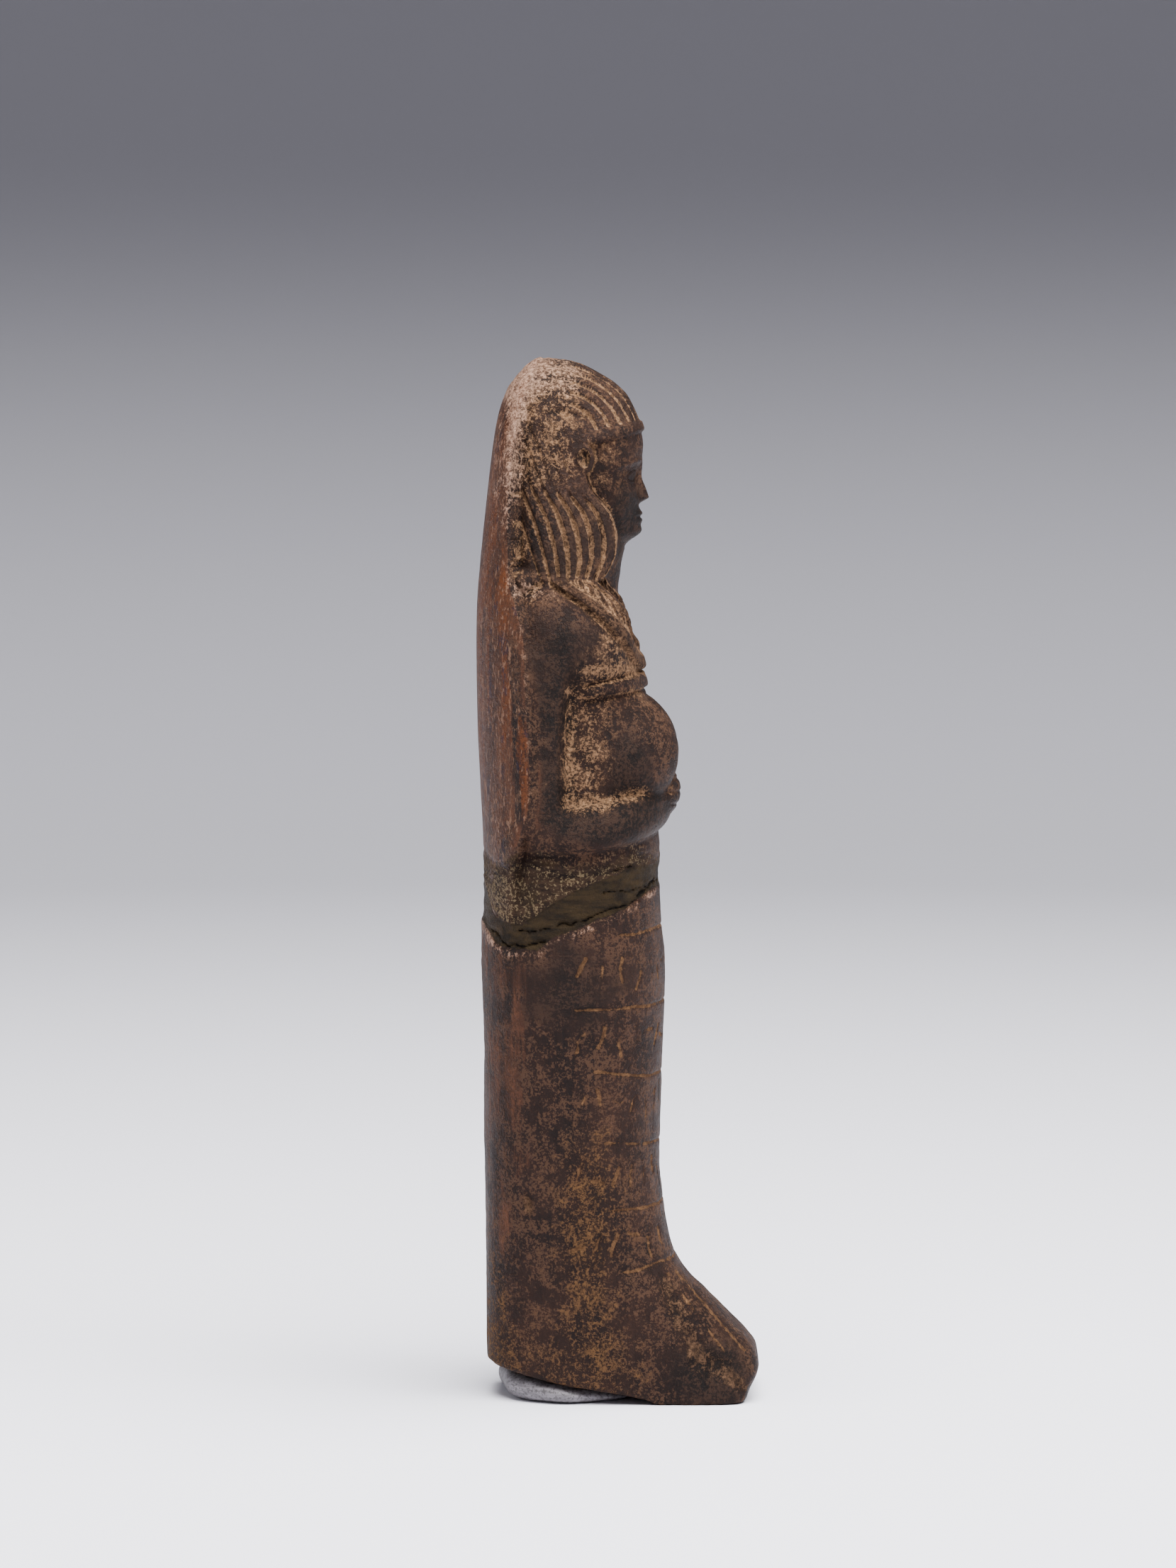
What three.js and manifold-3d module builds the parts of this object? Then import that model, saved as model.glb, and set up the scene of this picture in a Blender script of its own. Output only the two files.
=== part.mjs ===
// Ushabti figurine: one carved stone piece, propped on a pad of putty under its heel.
// Millimetres, +Z up. The figure faces -Y. The origin is the middle of the footprint, on the floor.
//
// Each rounded mass is a field, negative inside the stone and positive outside. A capsule is shrunk
// onto it, with more triangles where it curves. The masses are then joined, and the lines are cut.
import * as THREE from 'three';
import { mergeVertices } from 'three/addons/utils/BufferGeometryUtils.js';
import Module from 'manifold-3d';

const wasm = await Module();
wasm.setup();

// ---- Driving dimensions ----
const HEIGHT = 180;
const BACK_REACH = -16.3;
const TOE_REACH = 32.7;
const MIDDLE = (BACK_REACH + TOE_REACH) / 2;
const GAP = 0.3;

// Fineness of a skin: the sag that an edge may keep, and the shortest edge that is still split.
const SAG = 0.4;
const SHORTEST_EDGE = 2;
const FACE_SAG = 0.18;
const FACE_SHORTEST_EDGE = 1.1;
const ROUNDS = 4;

// ---- Small tools for the field ----
const clamp = THREE.MathUtils.clamp;
const { abs, atan2, cos, exp, hypot, max, min, PI, sin, sqrt } = Math;

/** A smooth curve through a few [height, value] points, without overshoot. */
function track(points) {
  const last = points.length - 1;
  const slope = [];
  for (let i = 0; i < last; i += 1) {
    slope.push((points[i + 1][1] - points[i][1]) / (points[i + 1][0] - points[i][0]));
  }
  const tangent = slope.map((right, i) => {
    const left = slope[i - 1];
    if (i === 0) return right;
    return left * right > 0 ? harmonic(left, right, points, i) : 0;
  });
  tangent.push(slope[last - 1]);
  return (at) => {
    const here = clamp(at, points[0][0], points[last][0]);
    let i = 0;
    while (i < last - 1 && here > points[i + 1][0]) i += 1;
    const span = points[i + 1][0] - points[i][0];
    const t = (here - points[i][0]) / span;
    const ease = t * t * (3 - 2 * t);
    return points[i][1] * (1 - ease) + points[i + 1][1] * ease
      + span * t * (1 - t) * (tangent[i] * (1 - t) - tangent[i + 1] * t);
  };
}

function harmonic(left, right, points, i) {
  const before = points[i][0] - points[i - 1][0];
  const after = points[i + 1][0] - points[i][0];
  const a = 2 * after + before;
  const b = after + 2 * before;
  return (a + b) / (a / left + b / right);
}

/** Eases from 0 at a to 1 at b. */
function step(a, b, at) {
  const t = clamp((at - a) / (b - a), 0, 1);
  return t * t * (3 - 2 * t);
}

const bell = (at, width) => exp(-((at / width) ** 2));

/** Union and overlap of two fields, rounded over the width k. */
function join(a, b, k) {
  const h = max(k - abs(a - b), 0) / k;
  return min(a, b) - h * h * k * 0.25;
}

const meet = (a, b, k) => -join(-a, -b, k);

function egg(x, f, z, centre, radii) {
  const q = hypot((x - centre[0]) / radii[0], (f - centre[1]) / radii[1], (z - centre[2]) / radii[2]);
  return (q - 1) * min(...radii);
}

/** Level section with its own half width, front reach, back reach and squareness. */
function oval(x, f, half, front, back, squareFront, squareBack) {
  const square = f > 0 ? squareFront : squareBack;
  const reach = f > 0 ? front : back;
  const scale = ((abs(x) / half) ** square + (abs(f) / reach) ** square + 1e-9) ** (1 / square);
  return { away: (scale - 1) * hypot(x, f) / scale, scale };
}

// ---- Curves of the body: height against reach or half width ----
const bodyFront = track([[-2, 30.4], [0, 30.6], [2.5, 31.3], [6.1, 32.7], [8, 32.4], [9.8, 31.2], [13.5, 27.6],
  [17.2, 24], [20.9, 20.4], [24.6, 18.2], [28.3, 17.1], [35.6, 16], [42, 15.4], [56, 15.7], [70, 16.1],
  [77, 15.9], [83, 15.3], [89, 15.1], [95, 15.4], [104, 14.4], [114, 13.4], [122, 13], [126.4, 12.5],
  [130, 11.6], [133.3, 10.2], [136.5, 8.6], [140, 8.3], [144, 8.7], [148, 9.4], [152, 9.6]]);
const bodyBack = track([[-2, 13.6], [2, 14.2], [6, 14.6], [21, 14.8], [58, 15.1], [83, 15.2],
  [86.5, 14.5], [95, 14.1], [104, 12], [152, 9]]);
const bodyHalf = track([[-2, 14], [4, 14.2], [10, 14.5], [20, 15], [30, 15.9], [45, 17.2], [60, 18.5],
  [75, 19.6], [83, 19.7], [92, 19.6], [98, 19.2], [106, 18.2], [118, 17.6], [128, 17], [133, 16],
  [137, 13.2], [140, 10.4], [143, 9], [152, 8.6]]);
const bodyMiddle = track([[-2, 8], [10, 8], [20, 4.5], [30, 1.5], [42, 0], [152, 0]]);
const bodySquareFront = track([[-2, 10], [2.8, 9.5], [6.4, 5.2], [8.2, 4], [16, 3.2], [25, 2.7], [40, 2.35],
  [90, 2.3], [110, 2.6], [130, 2.4], [140, 2.1], [152, 2]]);
const bodySquareBack = track([[-2, 3.2], [20, 2.9], [50, 2.5], [80, 2.4], [88, 2.15], [152, 2.2]]);

// The sole rises from the toe to the heel; the break slopes up towards the front.
const sole = track([[-14.5, 6.2], [-12.6, 5.9], [-8.3, 5], [-4, 4], [0.8, 3.1], [7.6, 1.9], [12.5, 0.9],
  [15.5, -0.3], [40, -0.3]]);
const breakLine = track([[-16, 84], [-11.3, 79.6], [-6, 79.6], [-3.2, 81.6], [2.8, 84], [8.8, 86.2],
  [13.8, 89], [17, 89.6]]);

const BREAK_STEP = 0.38;
const SUNK = 8;

// ---- Curves of the back slab ----
const slabBack = track([[78, 14.6], [83, 15.1], [94.6, 15.1], [106, 15.6], [117, 16.1], [131, 16.3],
  [137, 16.2], [144, 15.7], [152, 14.9], [161, 13.9], [168.3, 12.9], [172, 12], [175.7, 10.3],
  [177.5, 8.8], [179.3, 7], [180, 5.9]]);
const slabHalf = track([[78, 14.6], [85, 16.2], [93, 17.6], [98, 20], [103, 21], [115, 21.3], [128, 21.2],
  [134, 20.6], [138, 19.2], [141, 17.5], [143, 16.4], [150, 15.4], [157, 14.7], [163.6, 13.9],
  [169, 12.2], [173, 10.2], [176, 7.9], [178.4, 5.2], [180, 2.4]]);
const slabRidge = track([[78, -9.8], [93, -10.2], [99, -8.8], [104, -7.4], [112, -7.2], [128, -7.9],
  [134, -8.4], [139, -9.8], [143, -10.8], [154, -10.8], [163.6, -10.2], [170.6, -9], [175, -7.7],
  [180, -5.6]]);
const SLAB_BEND = 0.93;
const SLAB_LOW = 79;

// ---- Curves of the wig ----
const WIG_MIDDLE = -4;
const WIG_HEM = 142.6;
const wigFront = track([[140, 10.6], [146, 12.2], [152, 13.4], [158, 13.7], [163, 13.4], [166, 12.9],
  [168.3, 12.3], [170, 11.6], [172, 10.7], [173.8, 9.6], [175.7, 7.7], [177.5, 4.9], [178.7, 2.8],
  [179.5, 0.8], [180, -1.5]]);
const wigBack = track([[140, 11.5], [168, 11.4], [172, 10.8], [175.7, 9.3], [177.5, 7.9], [179.4, 6.2],
  [180, 5]]);
const wigHalf = track([[140, 15.6], [143, 15.8], [150, 15.4], [156, 14.7], [162, 13.7], [167, 12.6],
  [171, 11.2], [174, 9.6], [176.5, 7.7], [178.3, 5.7], [179.4, 3.7], [180, 2.2]]);
const wigEdge = track([[138, 2.2], [141, 4.6], [144, 6.7], [146.7, 7.8], [149.3, 8], [151.5, 7.6],
  [153.6, 6.8], [157.6, 3.6], [160, 2.7], [163, 2.4], [168, 2.4]]);
const rearLock = track([[140, -3.2], [142.6, -3.6], [146, -4.4], [150, -5.5], [155, -7.3], [160, -9.6]]);
const LOW_LOCKS = 6;
const CROWN_LOCKS = [63, 52, 41, 30, 19, 8];
const CROWN = { f: -1, z: 167 };
const FILLET = { z: 168.3, f: 12, slope: 0.215, half: 0.95 };

// ---- Face: calm, regular proportions ----
const faceHalf = track([[147.6, 2], [149, 4.6], [150.5, 6.2], [153, 7.9], [156, 9.3], [159, 10.2],
  [162, 10.8], [166, 11], [170, 10.4], [174, 8]]);
const faceFront = track([[147.6, 8.6], [148.6, 10.2], [149.8, 11.2], [151, 11.4], [153, 11.6],
  [156, 11.7], [159, 11.6], [162, 12.2], [165, 12.5], [168, 12], [172, 9.5]]);
const FACE = { brow: 162.3, eye: 160, eyeAside: 4.1, noseTip: 156, mouth: 152.75, chin: 150.3 };
const EAR = { f: 2.2, z: 163 };

/** Legs, waist, chest and neck, before the shoulders and breasts are added. */
function trunk(x, f, z) {
  const middle = bodyMiddle(z);
  const { away, scale } = oval(x, f - middle, bodyHalf(z), bodyFront(z) - middle, bodyBack(z) + middle,
    bodySquareFront(z), bodySquareBack(z));
  const forward = middle + (f - middle) / scale;
  // Below the break the body stands a little proud of the part above.
  const proud = BREAK_STEP * step(0.35, -0.35, z - breakLine(forward)) * step(60, 78, z);
  return max(meet(away, z - 150, 1) - proud, -SUNK - z);
}

const shoulder = (x, f, z) => egg(abs(x), f, z, [11.4, -1.6, 131.8], [9.5, 11.6, 11.2]);

const breast = (x, f, z) => egg(abs(x), f, z, [8.2, 7.4, 112.4], [9.3, 11.1, 10.6]);

function body(x, f, z) {
  if (z < 90) return trunk(x, f, z);
  return join(join(trunk(x, f, z), shoulder(x, f, z), 2.6), breast(x, f, z), 1.6);
}

const filletHeight = (f) => FILLET.z + FILLET.slope * (f - FILLET.f);

/** The wig before its face opening is cut. */
function wig(x, f, z) {
  const { away } = oval(x, f - WIG_MIDDLE, wigHalf(z), wigFront(z) - WIG_MIDDLE, wigBack(z) + WIG_MIDDLE,
    2.25, 2.2);
  return max(meet(away, z - HEIGHT, 1.2), WIG_HEM - 8 - z);
}

/** How far brow, eyes, nose, mouth, chin and cheeks stand out. */
function features(aside, z) {
  const browLine = FACE.brow + 0.5 * cos((aside - 3.6) * 0.42) - 0.35;
  let relief = 0.35 * bell(z - browLine, 0.6) * step(1.2, 2, aside) * step(9.4, 8.4, aside);
  relief -= 0.95 * bell(hypot((aside - 3.9) / 3.6, (z - FACE.eye) / 1.7), 1);
  relief += 0.7 * bell(hypot((aside - FACE.eyeAside) / 2.1, (z - FACE.eye) / 0.85), 1);
  const up = clamp((z - FACE.noseTip) / 5.6, 0, 1);
  const nose = (2.1 - 1.6 * up) * bell(aside, 1.6 - 0.5 * up);
  relief += nose * step(154.7, 156.1, z) * step(163.6, 161, z);
  relief += 0.7 * bell(hypot(aside - 1.75, z - FACE.noseTip), 0.8);
  relief += 0.7 * exp(-((aside / 3) ** 4)) * bell(z - FACE.mouth, 1.8);
  relief -= 0.35 * exp(-((aside / 2.9) ** 4)) * bell(z - FACE.mouth, 0.3);
  relief += 0.95 * bell(aside, 2.5) * bell(z - FACE.chin, 1.1);
  return relief + 0.45 * bell(aside - 5.4, 2.6) * bell(z - 156.6, 2.4);
}

function head(x, f, z) {
  const { away, scale } = oval(x, f, faceHalf(z), faceFront(z), 8, 2.35, 2);
  const carved = away - 0.92 * features(abs(x) / scale, z) * step(2, 6, f);
  return max(carved, 147.8 - z, z - 173);
}

// ---- Shrinking a capsule onto a field ----
/** Outermost crossing of a ray with the field, looking inward from a distance. */
function crossing(field, from, way, start, stride) {
  const at = (t) => field(from.x + t * way.x, from.y + t * way.y, from.z + t * way.z);
  let inner = start;
  while (inner > 0 && at(inner) > 0) inner -= stride;
  let outer = inner + stride;
  for (let i = 0; i < 14; i += 1) {
    const half = (inner + outer) / 2;
    if (at(half) > 0) outer = half;
    else inner = half;
  }
  return inner;
}

/** The capsule's point, carried inward to the skin. The mass gives its field and its spine. */
function shrink(mass, point, start, stride) {
  const height = clamp(point.z, mass.low, mass.high);
  const way = new THREE.Vector3(point.x, point.y, point.z - height).normalize();
  const from = new THREE.Vector3(0, mass.spine(height), height);
  const reach = crossing(mass.field, from, way, start, stride);
  return { point, reach, skin: from.addScaledVector(way, reach) };
}

function between(mass, a, b, part) {
  return shrink(mass, a.point.clone().lerp(b.point, part), max(a.reach, b.reach) + 2.5, 0.25);
}

/** How far the skin sags away from a straight edge, measured at three points of it. */
function sagOf(mass, a, b) {
  return max(...[0.25, 0.5, 0.75].map((part) => {
    const chord = a.skin.clone().lerp(b.skin, part);
    return between(mass, a, b, part).skin.distanceTo(chord);
  }));
}

/** Splits every edge that sags, and cuts its triangles to match. */
function refine(mass, corners, faces) {
  const middles = new Map();
  const middleOf = (i, j) => {
    const key = i < j ? `${i},${j}` : `${j},${i}`;
    if (middles.has(key)) return middles.get(key);
    const [a, b] = i < j ? [corners[i], corners[j]] : [corners[j], corners[i]];
    let found = -1;
    if (a.skin.distanceTo(b.skin) > mass.shortest && mass.shows(a.skin) && sagOf(mass, a, b) > mass.sag) {
      found = corners.length;
      corners.push(between(mass, a, b, 0.5));
    }
    middles.set(key, found);
    return found;
  };
  return faces.flatMap((face) => cutFace(face, face.map((i, k) => middleOf(i, face[(k + 1) % 3]))));
}

function cutFace(face, middles) {
  const split = middles.filter((m) => m >= 0).length;
  if (split === 0) return [face];
  // Turn the face until its first edge is split, and its last one is whole where it can be.
  let turn = 0;
  while (middles[turn] < 0 || (split === 2 && middles[(turn + 2) % 3] >= 0)) turn += 1;
  const [a, b, c] = [0, 1, 2].map((k) => face[(k + turn) % 3]);
  const [ab, bc, ca] = [0, 1, 2].map((k) => middles[(k + turn) % 3]);
  if (split === 1) return [[a, ab, c], [ab, b, c]];
  if (split === 2) return [[ab, b, bc], [a, ab, bc], [a, bc, c]];
  return [[a, ab, ca], [ab, b, bc], [ca, bc, c], [ab, bc, ca]];
}

/** Vertices and triangles of a geometry, its copies of shared vertices merged. */
function weld(geometry) {
  geometry.deleteAttribute('normal');
  geometry.deleteAttribute('uv');
  return mergeVertices(geometry, 1e-4);
}

function skinOf(mass) {
  const length = mass.high - mass.low;
  const capsule = new THREE.CapsuleGeometry(mass.radius, length, mass.capRows, mass.columns, mass.rows);
  capsule.rotateX(PI / 2);
  capsule.translate(0, 0, mass.low + length / 2);
  const grid = weld(capsule);
  const place = grid.getAttribute('position');
  const corners = [];
  for (let i = 0; i < place.count; i += 1) {
    corners.push(shrink(mass, new THREE.Vector3().fromBufferAttribute(place, i), mass.radius, 0.4));
  }
  const index = grid.getIndex().array;
  let faces = [];
  for (let i = 0; i < index.length; i += 3) faces.push([index[i], index[i + 1], index[i + 2]]);
  for (let round = 0; round < ROUNDS; round += 1) faces = refine(mass, corners, faces);
  // Forward becomes -Y, which turns the faces inside out, so each face is read backwards.
  const places = corners.flatMap(({ skin }) => [skin.x, MIDDLE - skin.y, skin.z]);
  return toSolid(fromLists(places, faces.flatMap(([a, b, c]) => [a, c, b])));
}

// ---- Solids ----
function fromLists(places, index) {
  const geometry = new THREE.BufferGeometry();
  geometry.setAttribute('position', new THREE.Float32BufferAttribute(places, 3));
  geometry.setIndex(index);
  return geometry;
}

function toSolid(geometry) {
  return new wasm.Manifold(new wasm.Mesh({
    numProp: 3,
    vertProperties: new Float32Array(geometry.getAttribute('position').array),
    triVerts: new Uint32Array(geometry.getIndex().array),
  }));
}

function toGeometry(solid) {
  const mesh = solid.getMesh();
  const geometry = fromLists(mesh.vertProperties, Array.from(mesh.triVerts));
  geometry.computeVertexNormals();
  return geometry;
}

/** The part of a solid above a level. */
function above(level, solid) {
  const room = new THREE.BoxGeometry(200, 200, 400);
  room.translate(0, 0, 200 + level);
  return solid.intersect(toSolid(weld(room)));
}

/** A block right across the figure, whose side view is the given outline of [forward, height] points. */
function acrossFigure(outline) {
  const shape = new THREE.Shape(outline.map(([f, z]) => new THREE.Vector2(f, z)));
  const block = new THREE.ExtrudeGeometry(shape, { depth: 80, bevelEnabled: false });
  const forward = new THREE.Vector3(0, -1, 0);
  const up = new THREE.Vector3(0, 0, 1);
  block.applyMatrix4(new THREE.Matrix4().makeBasis(forward, up, forward.clone().cross(up)));
  block.translate(40, MIDDLE, 0);
  return toSolid(weld(block));
}

/** A tube of rings of [x, forward, z] corners, closed at both ends. */
function loft(rings) {
  const corners = rings[0].length;
  const places = rings.flat().flatMap(([x, f, z]) => [x, MIDDLE - f, z]);
  const index = [];
  for (let i = 0; i < rings.length - 1; i += 1) {
    for (let k = 0; k < corners; k += 1) {
      const [a, b] = [i * corners + k, i * corners + (k + 1) % corners];
      index.push(a, b, a + corners, b, b + corners, a + corners);
    }
  }
  const end = (rings.length - 1) * corners;
  for (let k = 1; k < corners - 1; k += 1) index.push(0, k + 1, k, end, end + k, end + k + 1);
  return toSolid(fromLists(places, index));
}

/** An egg with its middle at x, forward f and height z. */
function lobe(x, f, z, radii, columns, rows) {
  const ball = weld(new THREE.SphereGeometry(1, columns, rows));
  ball.scale(...radii);
  ball.translate(x, MIDDLE - f, z);
  return toSolid(ball);
}

// ---- Lines cut into the skin or standing on it ----
const LOCK_CUT = { half: 0.6, deep: 0.5 };
const COLLAR_CUT = { half: 0.4, deep: 0.35 };
const KNUCKLE_CUT = { half: 0.35, deep: 0.35 };
const COLLAR_EDGE = { half: 0.8, proud: 0.45 };
const HEM = { half: 1, proud: 0.5 };
const FILLET_BAND = { half: 0.95, proud: 0.4 };

/** Outermost point of a skin along a ray. */
function castFrom(field, from, way) {
  return from.clone().addScaledVector(way, crossing(field, from, way, 40, 0.3));
}

function outward(field, p) {
  const e = 0.15;
  return new THREE.Vector3(
    field(p.x + e, p.y, p.z) - field(p.x - e, p.y, p.z),
    field(p.x, p.y + e, p.z) - field(p.x, p.y - e, p.z),
    field(p.x, p.y, p.z + e) - field(p.x, p.y, p.z - e),
  ).normalize();
}

/** A run of skin points round the figure from -end to end, at the heights heightAt(forward reach). */
function around(field, end, count, heightAt, lowest, highest) {
  return Array.from({ length: count + 1 }, (_, i) => {
    const angle = end * (2 * i / count - 1);
    const way = new THREE.Vector3(sin(angle), cos(angle), 0);
    let [low, high] = [lowest, highest];
    for (let k = 0; k < 12; k += 1) {
      const z = (low + high) / 2;
      if (z < heightAt(castFrom(field, new THREE.Vector3(0, 0, z), way).y)) low = z;
      else high = z;
    }
    return castFrom(field, new THREE.Vector3(0, 0, (low + high) / 2), way);
  });
}

/** A rod along skin points. Its section is given as [across, out] corners, at each point of its run. */
function rod(field, points, sectionAt) {
  return loft(points.map((p, i) => {
    const along = points[min(i + 1, points.length - 1)].clone().sub(points[max(i - 1, 0)]).normalize();
    const out = outward(field, p);
    const across = along.cross(out).normalize();
    return sectionAt(2 * i / (points.length - 1) - 1).map(([a, o]) => {
      const at = p.clone().addScaledVector(across, a).addScaledVector(out, o);
      return [at.x, at.y, at.z];
    });
  }));
}

function groove(field, points, { half, deep }) {
  return rod(field, points, () => [[-half, 0], [0, -deep], [half, 0], [0, deep]]);
}

function band(field, points, { half, proud }) {
  return rod(field, points, () => [[-half, -0.6], [half, -0.6], [0.75 * half, proud], [-0.75 * half, proud]]);
}

/** A run of points on the right-hand side, and the same run on the left. */
const bothSides = (line) => [line, line.map((p) => new THREE.Vector3(-p.x, p.y, p.z)).reverse()];

/** The grooves between the locks that hang in front of the shoulder. */
function lowLocks() {
  return Array.from({ length: LOW_LOCKS }, (_, k) => {
    const part = k / LOW_LOCKS;
    const top = 155.5 + 4.5 * sqrt(part) - 3 * max(part - 0.5, 0);
    return Array.from({ length: 5 }, (_unused, i) => {
      const z = WIG_HEM - 0.4 + (top - WIG_HEM + 0.4) * i / 4;
      const f = rearLock(z) + (wigEdge(z) - rearLock(z)) * part;
      return castFrom(wig, new THREE.Vector3(0, f, z), new THREE.Vector3(1, 0, 0));
    });
  }).flatMap(bothSides);
}

/** The grooves between the locks that run over the crown, from the fillet towards the back. */
function crownLocks() {
  const centre = new THREE.Vector3(0, CROWN.f, CROWN.z);
  return CROWN_LOCKS.map((lean) => {
    const side = THREE.MathUtils.degToRad(lean);
    const low = THREE.MathUtils.degToRad(20 + lean / 4);
    return Array.from({ length: 6 }, (_, i) => {
      const rise = low + (PI / 2 - low) * i / 5;
      const way = new THREE.Vector3(sin(side), cos(side) * cos(rise), cos(side) * sin(rise));
      return castFrom(wig, centre, way);
    });
  }).flatMap(bothSides);
}

// ---- Masses ----
/** Height of a row of the collar at a forward reach: rows are counted up from its lower edge. */
const collarRow = (row) => (f) => 141 + row / 0.676 - 1.09 * f;

function solidBody() {
  const bare = skinOf({
    field: body, spine: (z) => 8 * step(34, 14, z), low: -4, high: 138, radius: 44,
    columns: 22, rows: 20, capRows: 3, sag: SAG, shortest: SHORTEST_EDGE, shows: (p) => p.z > -2,
  });
  const edge = around(body, 1.35, 20, collarRow(0), 127, 142);
  const hem = around(body, 1.35, 18, (f) => 124.9 + 0.15 * (f - 13), 120, 128);
  let out = bare.add(band(body, edge, COLLAR_EDGE)).add(band(body, hem, HEM));
  for (const row of [1.1, 2.6]) {
    out = out.subtract(groove(body, around(body, 1.2, 18, collarRow(row), 128, 142.4), COLLAR_CUT));
  }
  const heel = Array.from({ length: 12 }, (_, i) => -14.5 + i * 30 / 11).map((f) => [f, sole(f)]);
  return out.subtract(acrossFigure([[-20, -20], [20, -20], ...heel.reverse(), [-20, 6.2]]));
}

/** The smooth plate down the back, bowed across, with an arris down each side. */
function solidSlab() {
  const plate = weld(new THREE.BoxGeometry(2, 1, 1, 8, 1, 18));
  const place = plate.getAttribute('position');
  const bowAt = (part) => (1 - sqrt(1 - (SLAB_BEND * part) ** 2)) / (1 - sqrt(1 - SLAB_BEND ** 2));
  for (let i = 0; i < place.count; i += 1) {
    const across = place.getX(i);
    const z = HEIGHT - (HEIGHT - SLAB_LOW) * (0.5 - place.getZ(i)) ** 1.4;
    const ridge = slabRidge(z);
    const rear = -slabBack(z) + (slabBack(z) + ridge) * bowAt(across);
    place.setXYZ(i, slabHalf(z) * across, MIDDLE - (place.getY(i) > 0 ? rear : ridge + 0.9), z);
  }
  return toSolid(plate);
}

/** Upper arm: a flat outer face with a narrow facet in front, narrowing into the shoulder. */
function upperArm(side) {
  const outer = track([[96, 20.2], [100, 20.9], [120, 20.9], [127, 20.6], [132, 19.2], [136, 16.4]]);
  const rings = [97, 100, 112, 120, 125, 129, 132, 134.5, 136].map((z) => {
    const x = outer(z);
    const front = -1 + 2 * step(118, 132, z);
    const section = [[10, -9.4], [x - 0.6, -9.4], [x, -8.6], [x, front - 1.9], [x - 0.4, front - 1.4],
      [x - 1.8, front - 0.1], [x - 2.4, front], [10, front]];
    return section.map(([aside, f]) => [side * aside, f, z]);
  });
  return loft(side > 0 ? rings.map((ring) => ring.reverse()) : rings);
}

/** Both forearms: one rounded rod laid round the waist from elbow to elbow, higher in front. */
function forearms() {
  const line = around(body, 1.98, 26, (f) => 100.2 + 0.0145 * max(f - 0.8, 0) ** 2, 97, 107);
  return rod(body, line, (run) => {
    const full = sqrt(1 - max((abs(run) - 0.86) / 0.16, 0) ** 2);
    return Array.from({ length: 8 }, (_, k) => {
      const turn = 2 * PI * k / 8;
      return [-4.3 * full * sin(turn), -0.4 + (cos(turn) > 0 ? 3.2 : 1.6) * full * cos(turn)];
    });
  });
}

/** A fist, with grooves between its fingers. */
function fist(x, f, z, radii, pitch) {
  const skin = (px, pf, pz) => egg(px, pf, pz, [x, f, z], radii);
  let out = lobe(x, f, z, radii, 14, 9);
  for (const row of [-1, 0, 1]) {
    const line = [-2.8, 0, 2.8].map((aside) => castFrom(skin,
      new THREE.Vector3(x + aside, f, z + row * pitch), new THREE.Vector3(0, 1, 0)));
    out = out.subtract(groove(skin, line, KNUCKLE_CUT));
  }
  return out;
}

function solidHead() {
  const bare = skinOf({
    field: head, spine: () => 1, low: 153, high: 167, radius: 24, columns: 26, rows: 6, capRows: 4,
    sag: FACE_SAG, shortest: FACE_SHORTEST_EDGE, shows: (p) => p.y > 3 && p.z < 169,
  });
  const ears = [-1, 1].map((side) => lobe(side * 11.2, EAR.f, EAR.z, [1.9, 1.75, 2.5], 12, 8)
    .subtract(lobe(side * 12.9, EAR.f + 0.1, EAR.z + 0.1, [1.1, 0.95, 1.5], 10, 6)));
  return ears.reduce((all, ear) => all.add(ear), bare);
}

/** Long wig with its fillet, cut straight at the shoulders and open round the face. */
function solidWig() {
  let out = skinOf({
    field: wig, spine: () => -3, low: 140, high: 168, radius: 24, columns: 24, rows: 6, capRows: 5,
    sag: SAG, shortest: SHORTEST_EDGE, shows: (p) => p.z > 142,
  });
  for (const line of [...lowLocks(), ...crownLocks()]) out = out.subtract(groove(wig, line, LOCK_CUT));
  out = out.add(band(wig, around(wig, 1.3, 18, filletHeight, 160, 172), FILLET_BAND));
  const edge = Array.from({ length: 18 }, (_, i) => 138 + 1.6 * i).map((z) => [wigEdge(z), z]);
  const underFillet = [wigEdge(165), 20].map((f) => [f, filletHeight(f) - FILLET.half]);
  out = out.subtract(acrossFigure([[20, 138], underFillet[1], underFillet[0], ...edge.reverse()]));
  return above(WIG_HEM, out);
}

function wholeFigure() {
  const masses = [solidBody(), solidSlab(), upperArm(1), upperArm(-1), forearms(),
    fist(-3.6, 14.3, 105.6, [5.8, 4.65, 5], 2.15), fist(5.4, 13.6, 103.9, [5, 4.2, 4.3], 2),
    solidHead(), solidWig()];
  return toGeometry(above(0, masses.reduce((all, mass) => all.add(mass))));
}

// ---- The pad of putty ----
const PAD = { middle: -0.5, length: 12, width: 13, sink: 0.25, square: 2.6 };

/** A pressed lump: flat on the floor, and on top following the rising sole. */
function putty() {
  const lump = weld(new THREE.SphereGeometry(1, 28, 8));
  lump.rotateX(PI / 2);
  const place = lump.getAttribute('position');
  for (let i = 0; i < place.count; i += 1) {
    const [x, y, level] = [place.getX(i), place.getY(i), place.getZ(i)];
    const round = atan2(x, y);
    const out = sqrt(max(1 - level * level, 0)) ** 0.32;
    const square = (abs(sin(round)) ** PAD.square + abs(cos(round)) ** PAD.square) ** (-1 / PAD.square);
    const forward = PAD.middle + PAD.length * out * square * cos(round);
    const top = sole(forward) - GAP;
    const height = (top + PAD.sink) * (1 + level) / 2 - PAD.sink;
    place.setXYZ(i, PAD.width * out * square * sin(round), MIDDLE - forward, height);
  }
  lump.setIndex(Array.from(lump.getIndex().array).reverse());
  return toGeometry(above(0, toSolid(lump)));
}

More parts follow.
